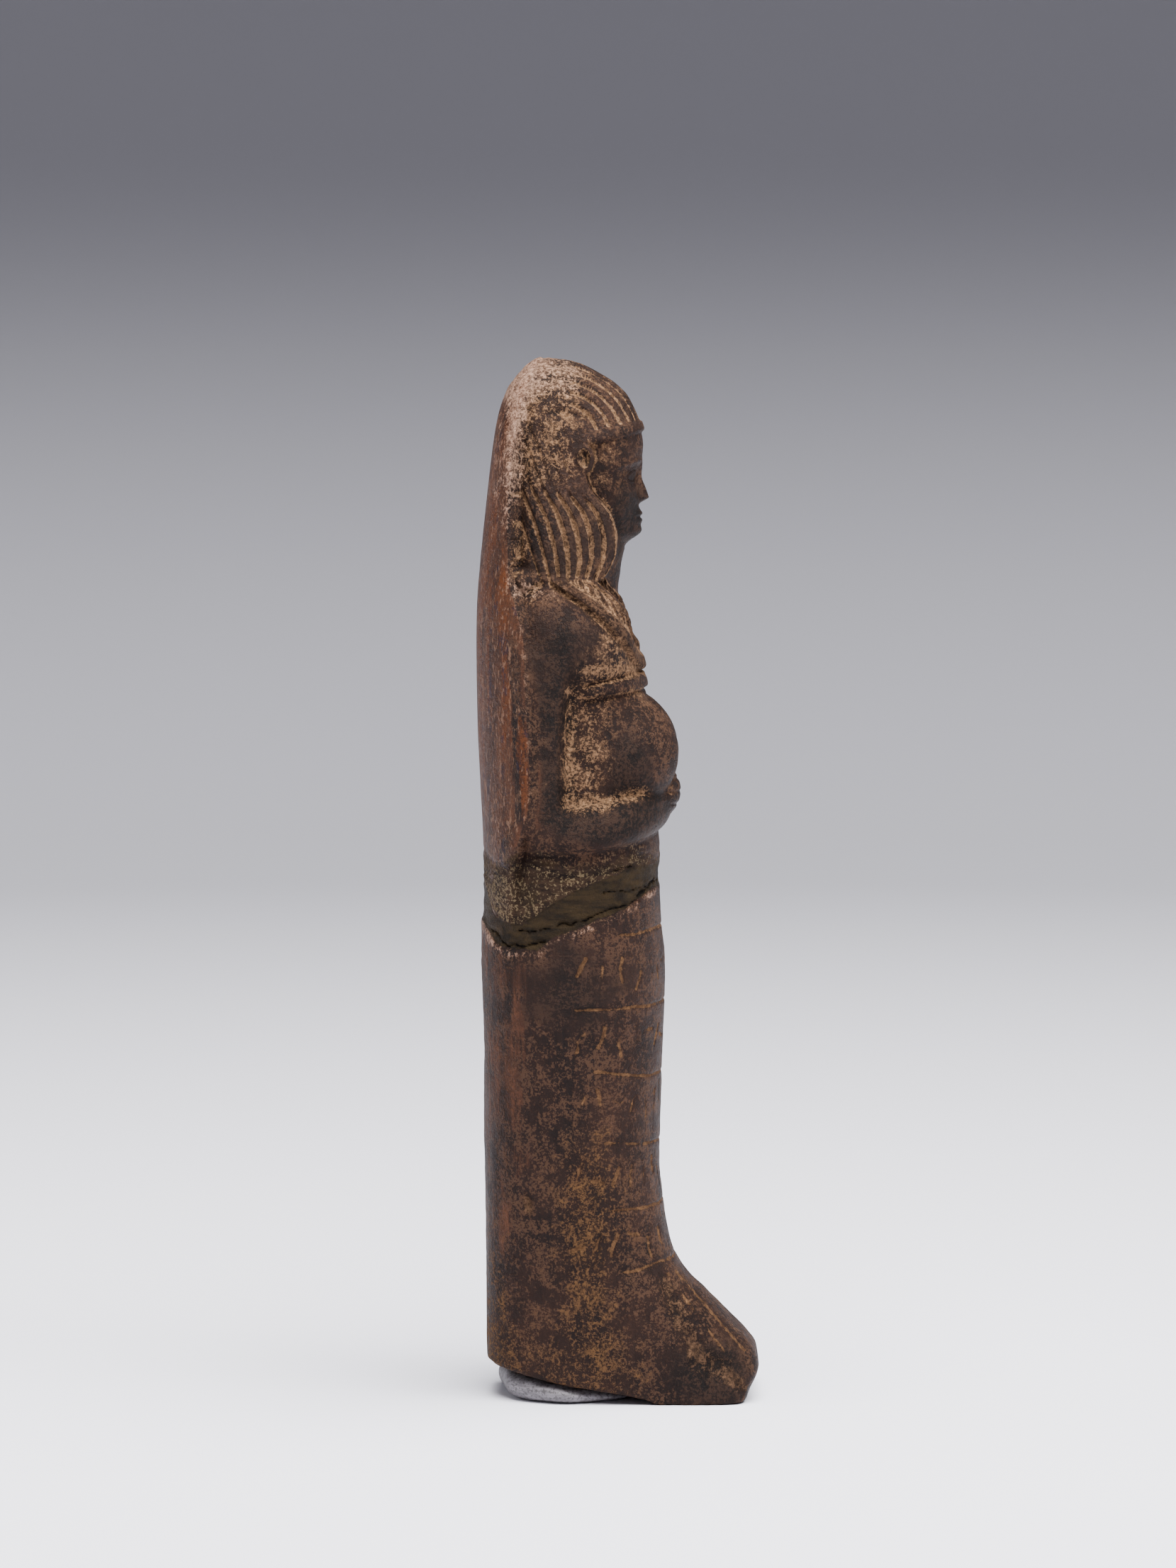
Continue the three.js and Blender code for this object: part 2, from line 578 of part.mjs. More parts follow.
// ---- The group ----
function piece(name, geometry, look) {
  const mesh = new THREE.Mesh(geometry, new THREE.MeshStandardMaterial(look));
  mesh.name = name;
  return mesh;
}

const figurine = piece('figurine', wholeFigure(),
  { color: 0x3f2e24, roughness: 0.45, metalness: 0, flatShading: true });
const puttyPad = piece('putty_pad', putty(),
  { color: 0x8f8a80, roughness: 0.7, metalness: 0, flatShading: true });

const group = new THREE.Group();
group.add(figurine, puttyPad);
export default group;
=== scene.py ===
"""Ushabti figurine of dark polished stone, propped on a pad of putty: the fine carving and the looks.

The carving is a field in millimetres, negative inside the stone. x is aside, f is forward (towards -Y)
and z is up. A ball is shrunk onto the field, and the fine marks are then pressed into its skin.
"""
import math

import bpy
import numpy as np
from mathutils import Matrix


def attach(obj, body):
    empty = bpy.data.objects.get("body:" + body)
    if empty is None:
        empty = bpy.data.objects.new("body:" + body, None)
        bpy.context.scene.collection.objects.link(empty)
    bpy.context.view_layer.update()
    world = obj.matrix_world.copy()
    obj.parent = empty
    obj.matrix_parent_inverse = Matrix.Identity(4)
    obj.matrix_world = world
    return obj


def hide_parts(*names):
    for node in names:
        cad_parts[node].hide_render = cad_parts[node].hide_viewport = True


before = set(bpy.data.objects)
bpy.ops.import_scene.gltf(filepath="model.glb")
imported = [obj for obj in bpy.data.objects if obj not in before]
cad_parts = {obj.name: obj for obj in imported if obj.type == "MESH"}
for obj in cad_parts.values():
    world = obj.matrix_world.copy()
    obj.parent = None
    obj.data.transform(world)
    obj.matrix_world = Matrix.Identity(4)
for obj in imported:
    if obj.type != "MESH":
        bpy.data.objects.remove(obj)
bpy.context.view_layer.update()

MM = 0.001
HEIGHT = 180.0
BACK_REACH, TOE_REACH = -16.3, 32.7
MIDDLE = (BACK_REACH + TOE_REACH) / 2


# ---- Small tools for the field ----
CURVE_STEPS = 1600


def track(*points):
    """A smooth curve through a few (height, value) points, without overshoot."""
    at, value = np.array(points, float).T
    span = np.diff(at)
    slope = np.diff(value) / span
    tangent = np.zeros(len(at))
    tangent[0], tangent[-1] = slope[0], slope[-1]
    for i in range(1, len(slope)):
        left, right = slope[i - 1], slope[i]
        if left * right > 0:
            a, b = 2 * span[i] + span[i - 1], span[i] + 2 * span[i - 1]
            tangent[i] = (a + b) / (a / left + b / right)

    def curve(here):
        here = np.clip(here, at[0], at[-1])
        i = np.clip(np.searchsorted(at, here, side="right") - 1, 0, len(span) - 1)
        t = (here - at[i]) / span[i]
        ease = t * t * (3 - 2 * t)
        bend = span[i] * t * (1 - t) * (tangent[i] * (1 - t) - tangent[i + 1] * t)
        return value[i] * (1 - ease) + value[i + 1] * ease + bend

    fine = np.linspace(at[0], at[-1], CURVE_STEPS)
    ready = curve(fine)
    return lambda here: np.interp(here, fine, ready)


def step(a, b, at):
    """Eases from 0 at a to 1 at b."""
    t = np.clip((at - a) / (b - a), 0, 1)
    return t * t * (3 - 2 * t)


def bell(at, width):
    """1 at 0, falling to about a third where at is the width."""
    return np.exp(-(at / width) ** 2)


def join(a, b, k):
    """Union of two fields, rounded over the width k."""
    h = np.clip(k - np.abs(a - b), 0, None) / k
    return np.minimum(a, b) - h * h * k * 0.25


def meet(a, b, k):
    """Overlap of two fields, rounded over the width k."""
    return -join(-a, -b, k)


def egg(x, f, z, centre, radii):
    """A mass with three radii."""
    parts = [((at - mid) / radius) ** 2 for at, mid, radius in zip((x, f, z), centre, radii)]
    return (np.sqrt(sum(parts)) - 1) * min(radii)


def oval(x, f, half, front, back, square_front, square_back):
    """Level section with its own half width, reaches and squareness, and the scale that meets its skin."""
    ahead = f > 0
    reach = np.where(ahead, front, back)
    square = np.where(ahead, square_front, square_back)
    scale = ((np.abs(x) / half) ** square + np.abs(f / reach) ** square + 1e-9) ** (1 / square)
    return (scale - 1) * np.hypot(x, f) / scale, scale


# ---- Curves of the body: height against reach or half width ----
body_front = track((-2, 30.2), (0, 30.4), (2.5, 31.3), (6.1, 32.7), (8, 32.4), (9.8, 31.2), (13.5, 27.6),
                   (17.2, 24), (20.9, 20.4), (24.6, 18.2), (28.3, 17.1), (35.6, 16), (42, 15.4),
                   (56, 15.7), (70, 16.1), (77, 15.9), (83, 15.3), (89, 15.1), (95, 15.4), (104, 14.4),
                   (114, 13.4), (122, 13), (126.4, 12.5), (130, 11.6), (133.3, 10.2), (136.5, 8.6),
                   (140, 8.3), (144, 8.7), (148, 9.4), (152, 9.6))
body_back = track((-2, 13.6), (2, 14.2), (6, 14.6), (21, 14.8), (58, 15.1), (83, 15.2), (86.5, 14.7),
                  (95, 14.2), (104, 12), (152, 9))
body_half = track((-2, 14), (4, 14.2), (10, 14.5), (20, 15), (30, 15.9), (45, 17.2), (60, 18.5),
                  (75, 19.6), (83, 19.7), (92, 19.6), (98, 19.2), (106, 18.2), (118, 17.6), (128, 17),
                  (133, 16), (137, 13.2), (140, 10.4), (143, 9), (152, 8.6))
body_middle = track((-2, 8), (10, 8), (20, 4.5), (30, 1.5), (42, 0), (152, 0))
body_square_front = track((-2, 10), (2.8, 9.5), (6.4, 5.2), (8.2, 4), (16, 3.2), (25, 2.7), (40, 2.35),
                          (90, 2.3), (110, 2.6), (130, 2.4), (140, 2.1), (152, 2))
body_square_back = track((-2, 3.2), (20, 2.9), (50, 2.5), (80, 2.4), (88, 2.2), (152, 2.2))
sole = track((-14.5, 6.2), (-12.6, 5.9), (-8.3, 5), (-4, 4), (0.8, 3.1), (7.6, 1.9), (12.5, 0.9),
             (15.5, 0), (40, 0))
break_line = track((-16, 84), (-11.3, 79.6), (-6, 79.6), (-3.2, 81.6), (2.8, 84), (8.8, 86.2), (13.8, 89),
                   (17, 89.6))
BREAK_STEP = 0.38

# ---- Curves of the back slab ----
SLAB_LOW, SLAB_BEND = 79, 0.93
slab_back = track((78, 14.6), (83, 15.1), (94.6, 15.1), (106, 15.6), (117, 16.1), (131, 16.3), (137, 16.2),
                  (144, 15.7), (152, 14.9), (161, 13.9), (168.3, 12.9), (172, 12), (175.7, 10.3),
                  (177.5, 8.8), (179.3, 7), (180, 5.9))
slab_half = track((78, 14.6), (85, 16.2), (93, 17.6), (98, 20), (103, 21), (115, 21.3), (128, 21.2),
                  (134, 20.6), (138, 19.2), (141, 17.5), (143, 16.4), (150, 15.4), (157, 14.7),
                  (163.6, 13.9), (169, 12.2), (173, 10.2), (176, 7.9), (178.4, 5.2), (180, 2.4))
slab_ridge = track((78, -9.8), (93, -10.2), (99, -8.8), (104, -7.4), (112, -7.2), (128, -7.9), (134, -8.4),
                   (139, -9.8), (143, -10.8), (154, -10.8), (163.6, -10.2), (170.6, -9), (175, -7.7),
                   (180, -5.6))

# ---- Curves of the wig ----
WIG_MIDDLE, WIG_HEM = -4.0, 142.6
wig_front = track((140, 10.6), (146, 12.2), (152, 13.4), (158, 13.7), (163, 13.4), (166, 12.9),
                  (168.3, 12.3), (170, 11.6), (172, 10.7), (173.8, 9.6), (175.7, 7.7), (177.5, 4.9),
                  (178.7, 2.8), (179.5, 0.8), (180, -1.5))
wig_back = track((140, 11.5), (168, 11.4), (172, 10.8), (175.7, 9.3), (177.5, 7.9), (179.4, 6.2), (180, 5))
wig_half = track((140, 15.6), (143, 15.8), (150, 15.4), (156, 14.7), (162, 13.7), (167, 12.6), (171, 11.2),
                 (174, 9.6), (176.5, 7.7), (178.3, 5.7), (179.4, 3.7), (180, 2.2))
wig_edge = track((138, 2.2), (141, 4.6), (144, 6.7), (146.7, 7.8), (149.3, 8), (151.5, 7.6), (153.6, 6.8),
                 (157.6, 3.6), (160, 2.7), (163, 2.4), (168, 2.4))
rear_lock = track((140, -3.2), (142.6, -3.6), (146, -4.4), (150, -5.5), (155, -7.3), (160, -9.6))
LOW_LOCKS, LOWEST_CROWN_LOCK, CROWN_LOCK_ANGLE, LOCK_DEPTH = 6, 63, 11, 0.55
CROWN_F, CROWN_Z = -1, 167
FILLET_F, FILLET_Z, FILLET_SLOPE, FILLET_HALF = 12, 168.3, 0.215, 0.95

# ---- Face: calm, regular proportions ----
face_half = track((147.6, 2), (149, 4.6), (150.5, 6.2), (153, 7.9), (156, 9.3), (159, 10.2), (162, 10.8),
                  (166, 11), (170, 10.4), (174, 8))
face_front = track((147.6, 8.6), (148.6, 10.2), (149.8, 11.2), (151, 11.4), (153, 11.6), (156, 11.7),
                   (159, 11.6), (162, 12.2), (165, 12.5), (168, 12), (172, 9.5))
BROW_Z, EYE_Z, EYE_ASIDE, NOSE_Z, MOUTH_Z, CHIN_Z = 162.3, 160.0, 4.1, 156.0, 152.75, 150.3
EAR_F, EAR_Z = 2.2, 163.0


# ---- Masses of the figure ----
def trunk(x, f, z):
    """Legs, waist, chest and neck, and the same point carried level onto their skin."""
    middle = body_middle(z)
    away, scale = oval(x, f - middle, body_half(z), body_front(z) - middle, body_back(z) + middle,
                       body_square_front(z), body_square_back(z))
    forward = middle + (f - middle) / scale
    # Below the break the body stands a little proud of the part above.
    proud = BREAK_STEP * step(1.4, -0.8, z - break_line(forward)) * step(60, 78, z)
    return meet(away, z - 150, 1) - proud, x / scale, forward


def slab(x, f, z):
    """The smooth plate down the back, bowed across, with an arris down each side."""
    half, back, ridge = slab_half(z), slab_back(z), slab_ridge(z)
    across = np.clip(np.abs(x) / half, 0, 1.05)
    flat = math.sqrt(1 - SLAB_BEND ** 2)
    bow = (1 - np.sqrt(np.clip(1 - (SLAB_BEND * across) ** 2, 0.02, 1))) / (1 - flat)
    rear = (-back + (back + ridge) * bow - f) * 0.8
    plate = meet(rear, np.abs(x) - half, 0.5)
    plate = np.maximum(plate, f - ridge - 0.9)
    return np.maximum(meet(plate, z - HEIGHT - 0.2, 0.8), SLAB_LOW - z)


def fillet_height(f):
    """The fillet rises towards the front."""
    return FILLET_Z + FILLET_SLOPE * (f - FILLET_F)


def locks(aside, f, z):
    """Depth, from 0 to 1, of the grooves between the wig's locks."""
    along = (f - rear_lock(z)) / (wig_edge(z) - rear_lock(z))
    in_low_part = step(159.5, 156.5, z + 0.25 * (f + 5)) * step(-0.22, -0.12, along)
    low = np.cos(2 * np.pi * LOW_LOCKS * along)
    angle = np.degrees(np.arctan2(aside, np.hypot(f - CROWN_F, z - CROWN_Z)))
    in_crown = step(0.9, 1.5, z - fillet_height(f)) * step(-1.5, 1, f) * step(71, 67, angle)
    crown = np.cos(2 * np.pi * (angle - LOWEST_CROWN_LOCK) / CROWN_LOCK_ANGLE)
    low_groove = in_low_part * np.clip(low - 0.25, 0, 1) / 0.75
    crown_groove = in_crown * np.clip(crown - 0.25, 0, 1) / 0.75
    return np.maximum(low_groove, crown_groove)


def wig(x, f, z):
    """Long wig with its fillet, cut straight at the shoulders and open round the face."""
    away, scale = oval(x, f - WIG_MIDDLE, wig_half(z), wig_front(z) - WIG_MIDDLE, wig_back(z) + WIG_MIDDLE,
                       2.25, 2.2)
    band = fillet_height(f)
    proud = 0.35 * step(1.15, 0.8, np.abs(z - band)) * step(1, 3, f)
    groove = locks(np.abs(x) / scale, WIG_MIDDLE + (f - WIG_MIDDLE) / scale, z)
    opening = meet(wig_edge(z) - f, z - band + FILLET_HALF, 0.8)
    shell = meet(away + LOCK_DEPTH * groove - proud, -0.9 * opening, 0.7)
    return meet(meet(shell, WIG_HEM - z, 0.7), z - HEIGHT - 0.05, 1.2)


def features(aside, z):
    """How far brow, eyes, nose, mouth, chin and cheeks stand out."""
    def mouth_part(half, width, height):
        return np.exp(-(aside / half) ** 4) * bell(z - MOUTH_Z - height, width)

    brow_line = BROW_Z + 0.5 * np.cos((aside - 3.6) * 0.42) - 0.35
    relief = 0.3 * bell(z - brow_line, 0.42) * step(1.2, 2, aside) * step(9.4, 8.4, aside)
    relief -= 0.95 * bell(np.hypot((aside - 3.9) / 3.6, (z - EYE_Z) / 1.7), 1)
    almond = (((aside - EYE_ASIDE) / 2.35) ** 2
              + np.abs((z - EYE_Z + 0.06 * (aside - EYE_ASIDE)) / 0.92) ** 1.6)
    relief += 0.62 * np.sqrt(np.clip(1 - almond, 0, 1)) + 0.24 * bell(np.sqrt(almond) - 1.22, 0.16)
    up = np.clip((z - NOSE_Z) / 5.6, 0, 1)
    nose = (2.1 - 1.6 * up) * bell(aside, 1.6 - 0.5 * up)
    relief += nose * step(154.7, 156.1, z) * step(163.6, 161, z)
    relief += 0.75 * bell(np.hypot(aside - 1.75, z - NOSE_Z), 0.75)
    relief += 0.55 * mouth_part(3.4, 1.9, 0) + 0.4 * mouth_part(2.5, 0.55, 0.62)
    relief += 0.42 * mouth_part(2.2, 0.6, -0.68) - 0.3 * mouth_part(2.9, 0.22, 0)
    relief += 0.95 * bell(aside, 2.5) * bell(z - CHIN_Z, 1.1)
    return relief + 0.45 * bell(aside - 5.4, 2.6) * bell(z - 156.6, 2.4)


def head(x, f, z):
    """The face and neck; the wig closes it behind and above."""
    away, scale = oval(x, f, face_half(z), face_front(z), 8, 2.35, 2)
    carved = away - 0.92 * features(np.abs(x) / scale, z) * step(2, 6, f)
    return np.maximum(np.maximum(carved, 147.8 - z), z - 173)


def ear(x, f, z):
    """The same small round ear on both sides."""
    shell = egg(np.abs(x), f, z, (11.8, EAR_F, EAR_Z), (2, 1.9, 2.7))
    hollow = egg(np.abs(x), f, z, (13.6, EAR_F + 0.1, EAR_Z + 0.1), (1.2, 1.05, 1.7))
    return meet(shell, -hollow, 0.3)


# Rows of the collar, counted in millimetres up from its lower edge, and the beads in a full turn.
BEAD_ROW, THREAD_ROW, PETAL_ROWS = 1.55, 2.55, (3.4, 4.4)
BEADS_TURN, PETALS_TURN = 76, 60
COLLAR_TOP, COLLAR_SLOPE = 141, 1.09


def collar_row(f, z):
    """Rows of the broad collar, which slopes down towards the front."""
    return (z - COLLAR_TOP + COLLAR_SLOPE * f) / math.hypot(1, COLLAR_SLOPE)


def collar(aside, f, z):
    """How far the collar's edge, beads, thread and petals stand out."""
    row = collar_row(f, z)
    turn = np.arctan2(aside, f + 3)
    edge = 0.45 * step(0.75, 0.5, np.abs(row))
    thread = 0.3 * step(0.42, 0.2, np.abs(row - THREAD_ROW))
    petals = sum(bell(row - at, half) for at, half in zip(PETAL_ROWS, (0.4, 0.35)))
    petals = 0.45 * petals * np.clip(np.cos(PETALS_TURN * turn), 0, 1)
    beads = 0.4 * bell(row - BEAD_ROW, 0.42) * np.clip(np.cos(BEADS_TURN * turn), 0, 1)
    ground = 0.25 * step(-0.8, -0.4, row) * step(5.2, 4.6, row)
    shown = step(143.2, 142.2, z) * step(-2.5, -1, f)
    return (edge + thread + petals + beads + ground - 0.3 * bell(row + 1, 0.45)) * shown


def chest_hem(f, z):
    """How far the bodice's hem stands out, between its two cuts."""
    up = z - 124.9 - 0.15 * (f - 13)
    half = 0.75 + 0.03 * (f - 3)
    hem = 0.5 * step(half + 0.35, half, np.abs(up))
    cuts = 0.3 * (bell(up - half - 0.7, 0.4) + bell(up + half + 0.7, 0.45))
    return (hem - cuts) * step(1, 3.5, f) * step(119, 121, z)


def shoulder(x, f, z):
    """The shoulder, with the small rise that closes the corner under the wig."""
    ball_of_arm = egg(np.abs(x), f, z, (11.4, -1.6, 131.8), (9.5, 11.6, 11.2))
    return join(ball_of_arm, egg(np.abs(x), f, z, (12.3, -8.2, 142), (4, 2.9, 2.6)), 1)


def breast(x, f, z):
    """The full chest above the forearms."""
    return egg(np.abs(x), f, z, (8.2, 7.4, 112.4), (9.3, 11.1, 10.6))


def upper_arm(x, f, z):
    """A flat outer face with a narrow facet in front."""
    aside, front, rounding = np.abs(x), 2 * step(118, 132, z) - 1, 1.7
    from_side = np.abs(aside - 16) - (4.9 - rounding)
    from_front = np.abs(f - (front - 8.6) / 2 + 0.1) - ((front + 8.6) / 2 + 0.35 - rounding)
    block = (np.hypot(np.clip(from_side, 0, None), np.clip(from_front, 0, None))
             + np.minimum(np.maximum(from_side, from_front), 0) - rounding)
    facet = 0.62 * (aside - 18.7) + 0.78 * (f - front) - 0.35
    return meet(meet(meet(block, facet, 0.5), z - 134, 6), 98.5 - z, 3)


def forearm(x, f, z):
    """Follows the body round to the front, and rises a little."""
    half = 4.15
    middle = 100.2 + np.where(f > 0.8, 0.0145 * (f - 0.8) ** 2, 0.02 * (0.8 - f))
    lift = (2.5 + 0.5 * step(2, 12, f)) * step(-9.5, -7, f)
    swell = np.sqrt(np.clip(1 - (np.abs(z - middle) / half) ** 2.6, 0, 1))
    tube = trunk(x, f, np.clip(z, 96, 110))[0] - lift * swell
    return np.maximum(np.maximum(tube, (np.abs(z - middle) - half) * 0.9), -8.6 - f)


def fists(x, f, z):
    """Two fists below the breasts, one over the other wrist."""
    def knuckles(up, pitch):
        return 0.28 * np.clip(np.cos(2 * np.pi * up / pitch) - 0.3, 0, 1) * step(13.3, 14.8, f)

    over = egg(x, f, z, (-3.6, 14.3, 105.6), (5.8, 4.65, 5)) + knuckles(z - 105.6, 2.15)
    under = egg(x, f, z, (5.4, 13.6, 103.9), (5, 4.2, 4.3)) + knuckles(z - 103.9, 2)
    return join(over, under, 0.5)


def figure(x, f, z, low=-99, high=999):
    """The whole figure. low and high bound the heights asked for, so that far masses are left out."""
    out, carried_x, forward = trunk(x, f, z)
    if high > 110:
        out = join(out, shoulder(x, f, z), 2.6)
        aside = np.abs(carried_x)
        out = out - collar(aside, forward, z) - chest_hem(forward, z)
    if high > 92 and low < 140:
        out = join(out, breast(x, f, z), 1.6)
        out = join(out, join(upper_arm(x, f, z), forearm(x, f, z), 1.2), 0.7)
        out = join(out, fists(x, f, z), 0.5)
    if high > 138:
        out = join(out, head(x, f, z), 1.2)
        out = join(out, wig(x, f, z), 0.4 + 1.8 * step(145, 142.5, z))
        out = join(out, ear(x, f, z), 0.3)
    if high > SLAB_LOW - 1:
        out = join(out, slab(x, f, z), 0.5)
    if low < 12:
        out = meet(out, sole(f) - z, 1.0)
    return out


# ---- Shrinking a ball onto the figure ----
# The rays leave a spine that runs from SPINE_LOW to SPINE_HIGH, and start beyond REACH.
SPINE_LOW, SPINE_HIGH, REACH = 6.0, 163.0, 40.0
COLUMNS, ROWS = ((640, 760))
LOW_ROWS, HIGH_ROWS = ROWS // 9, ROWS // 10
COARSE_SKIP, ROWS_AT_ONCE = 4, 8


def spine_forward(z):
    """The spine leans forward over the foot."""
    return 8 * step(34, 12, z) - step(60, 120, z)


def ray_table():
    """For each row and column of the ball: where its ray leaves the spine, and which way it runs."""
    turn = np.arange(COLUMNS) * 2 * np.pi / COLUMNS
    # Columns lie closer together in front than behind.
    turn = turn - 0.3 * np.sin(turn)
    row = np.arange(1, ROWS)
    low = np.clip((row - LOW_ROWS) / LOW_ROWS, -1, 0)
    high = np.clip((row - (ROWS - HIGH_ROWS)) / HIGH_ROWS, 0, 1)
    lift = (low + high) * np.pi / 2
    part = np.clip((row - LOW_ROWS) / (ROWS - LOW_ROWS - HIGH_ROWS), 0, 1)
    # Rows lie closer together over the chest and the head than down the legs.
    height = SPINE_LOW + (SPINE_HIGH - SPINE_LOW) * (0.62 * part ** 0.8 + 0.38 * part)
    level, rise = np.cos(lift)[:, None], np.sin(lift)[:, None] + 0 * turn
    return height[:, None], np.stack([level * np.sin(turn), level * np.cos(turn), rise])


def along(height, way, reach):
    """The point that lies at this reach on each ray."""
    return reach * way[0], spine_forward(height) + reach * way[1], height + reach * way[2]


def shrink_rows(height, way, start, stride, rounds):
    """Reach of each ray's outermost crossing, looking inward from start."""
    low, high = height.min(), height.max()
    low = low if low > SPINE_LOW else -99
    high = high if high < SPINE_HIGH else 999
    inner = start
    found = np.zeros(start.shape, bool)
    while not found.all():
        found |= figure(*along(height, way, inner), low, high) < 0
        inner = np.where(found, inner, inner - stride)
    outer = inner + stride
    for _ in range(rounds):
        half = (inner + outer) / 2
        inside = figure(*along(height, way, half), low, high) < 0
        inner, outer = np.where(inside, half, inner), np.where(inside, outer, half)
    return (inner + outer) / 2


def shrink_figure():
    """Skin points of every row and column: a coarse pass first, then every ray from near its skin."""
    height, way = ray_table()
    coarse_rows = np.unique(np.append(np.arange(0, ROWS - 1, COARSE_SKIP), ROWS - 2))
    coarse = np.empty((len(coarse_rows), COLUMNS // COARSE_SKIP))
    for i in range(0, len(coarse_rows), ROWS_AT_ONCE):
        rows = coarse_rows[i:i + ROWS_AT_ONCE]
        rays = way[:, rows][:, :, ::COARSE_SKIP]
        from_far = np.full(rays.shape[1:], REACH)
        coarse[i:i + ROWS_AT_ONCE] = shrink_rows(height[rows], rays, from_far, 0.5, 5)
    around = np.stack([np.roll(coarse, k, axis=1) for k in (-1, 0, 1)]).max(axis=0)
    padded = np.pad(around, ((1, 1), (0, 0)), mode="edge")
    around = np.stack([padded[k:k + len(coarse)] for k in (0, 1, 2)]).max(axis=0)
    reach = np.empty(way.shape[1:])
    every = np.arange(COLUMNS) // COARSE_SKIP
    for i in range(0, ROWS - 1, ROWS_AT_ONCE):
        rows = np.arange(i, min(i + ROWS_AT_ONCE, ROWS - 1))
        near = np.clip(np.searchsorted(coarse_rows, rows), 0, len(coarse_rows) - 1)
        start = np.minimum(around[near][:, every] + 1.6, REACH)
        reach[rows] = shrink_rows(height[rows], way[:, rows], start, 0.4, 11)
    return np.stack([a + 0 * reach for a in along(height, way, reach)])


def grid_normals(skin):
    """Outward normals of the grid. f runs against Y, so the cross product is turned round."""
    up = np.gradient(skin, axis=1)
    across = (np.roll(skin, -1, axis=2) - np.roll(skin, 1, axis=2)) / 2
    normal = np.cross(up, across, axis=0)
    return normal / (np.linalg.norm(normal, axis=0) + 1e-12)


# ---- Noise ----
# Large odd numbers that stir a place and a seed into a random number.
STIR_PLACE, STIR_SEED, STIR_AGAIN = (374761393, 668265263, 2246822519), 3266489917, 1274126177


def lattice(places, seed):
    """A steady random number from -1 to 1 at each whole point."""
    mixed = np.uint32(seed * STIR_SEED % 2 ** 32)
    for place, stir in zip(places, STIR_PLACE):
        mixed = mixed + place.astype(np.uint32) * np.uint32(stir)
    mixed = (mixed ^ (mixed >> np.uint32(13))) * np.uint32(STIR_AGAIN)
    mixed = mixed ^ (mixed >> np.uint32(16))
    return mixed.astype(np.float64) / 2 ** 31 - 1


def noise(x, f, z, size, seed):
    """Smooth noise from -1 to 1; size is one number or one for each axis."""
    size = np.broadcast_to(size, 3)
    at = [np.asarray(v) / s + 1000 for v, s in zip((x, f, z), size)]
    whole = [np.floor(v).astype(np.int64) for v in at]
    part = [v - w for v, w in zip(at, whole)]
    part = [p * p * (3 - 2 * p) for p in part]
    total = 0
    for corner in range(8):
        bits = [corner >> n & 1 for n in range(3)]
        weight = 1
        for bit, p in zip(bits, part):
            weight = weight * (p if bit else 1 - p)
        total = total + weight * lattice([w + b for w, b in zip(whole, bits)], seed)
    return total


def rough(x, f, z, size, seed, octaves=3):
    """Noise with finer noise laid over it."""
    size = np.broadcast_to(size, 3)
    return sum(noise(x, f, z, size / 2 ** n, seed + n) / 2 ** n for n in range(octaves)) / 1.6


# ---- Fine marks ----
LEG_RADIUS = 16.5
# Lines across the legs: height at the side, height in front, and how far back each reaches.
REGISTERS = ((82, 82.2, 8.6), (69.3, 69.3, 0.9), (58.4, 56.8, 4.4), (45.9, 44.9, 6), (34.3, 34.3, 7.2),
             (23.3, 24.6, 9.2))
STROKE_LEANS = np.radians((84, 70, 8, 104, 75, -12, 98, 90, 66))
FIRST_STROKE, STROKE_PITCH = 1.5, 3.1


def girth(x, f):
    """Millimetres round the legs from the middle of the side towards the front."""
    return LEG_RADIUS * (np.pi / 2 - np.abs(np.arctan2(x, f)))


def to_segment(a, b, start, end):
    """Distance in the plane of a and b to a straight stroke."""
    da, db = end[0] - start[0], end[1] - start[1]
    t = np.clip(((a - start[0]) * da + (b - start[1]) * db) / (da * da + db * db + 1e-9), 0, 1)
    return np.hypot(a - start[0] - t * da, b - start[1] - t * db)


def to_line(a, b, points):
    """Distance in the same plane to a run of straight strokes."""
    return np.minimum.reduce([to_segment(a, b, p, q) for p, q in zip(points, points[1:])])


def make_strokes():
    """Rows of short single strokes between the register lines, none touching the next."""
    rng = np.random.default_rng(7)
    strokes = []
    tops = [side for side, _, _ in REGISTERS]
    for side in (-1, 1):
        for top, bottom in zip(tops, tops[1:]):
            order = rng.permutation(len(STROKE_LEANS))
            for n, lean in enumerate(STROKE_LEANS[order]):
                place = FIRST_STROKE + STROKE_PITCH * n
                half = rng.uniform(0.8, 1.1) + rng.uniform(0.2, 1.2) * abs(math.sin(lean))
                height = bottom + (top - bottom) * 0.5 + rng.uniform(-1.6, 1.6)
                bent = rng.uniform(-0.35, 0.35)
                along, up = half * math.cos(lean), half * math.sin(lean)
                points = ((place - along, height - up), (place - bent * math.sin(lean), height + bent),
                          (place + along, height + up))
                strokes.append((side, points, rng.uniform(0.3, 0.42)))
    return strokes


STROKES = make_strokes()


def strokes_at(x, f, z):
    """Depth of the shallow strokes, from 0 to 1."""
    round_body = girth(x, f) + 0.25 * noise(x, f, z, 1.6, 31)
    height = z + 0.25 * noise(x, f, z, 1.6, 32)
    depth = np.zeros_like(x)
    for side, points, width in STROKES:
        low = np.min(points, axis=0) - 1.2
        high = np.max(points, axis=0) + 1.2
        near = ((x * side > 0) & (f > -6) & (round_body > low[0]) & (round_body < high[0])
                & (height > low[1]) & (height < high[1]))
        away = to_line(round_body[near], height[near], points)
        depth[near] = np.maximum(depth[near], np.exp(-(away / width) ** 2))
    worn = step(-0.7, 0.2, noise(x, f, z, 5, 33))
    return depth * worn * step(-4.5, -2.5, f)


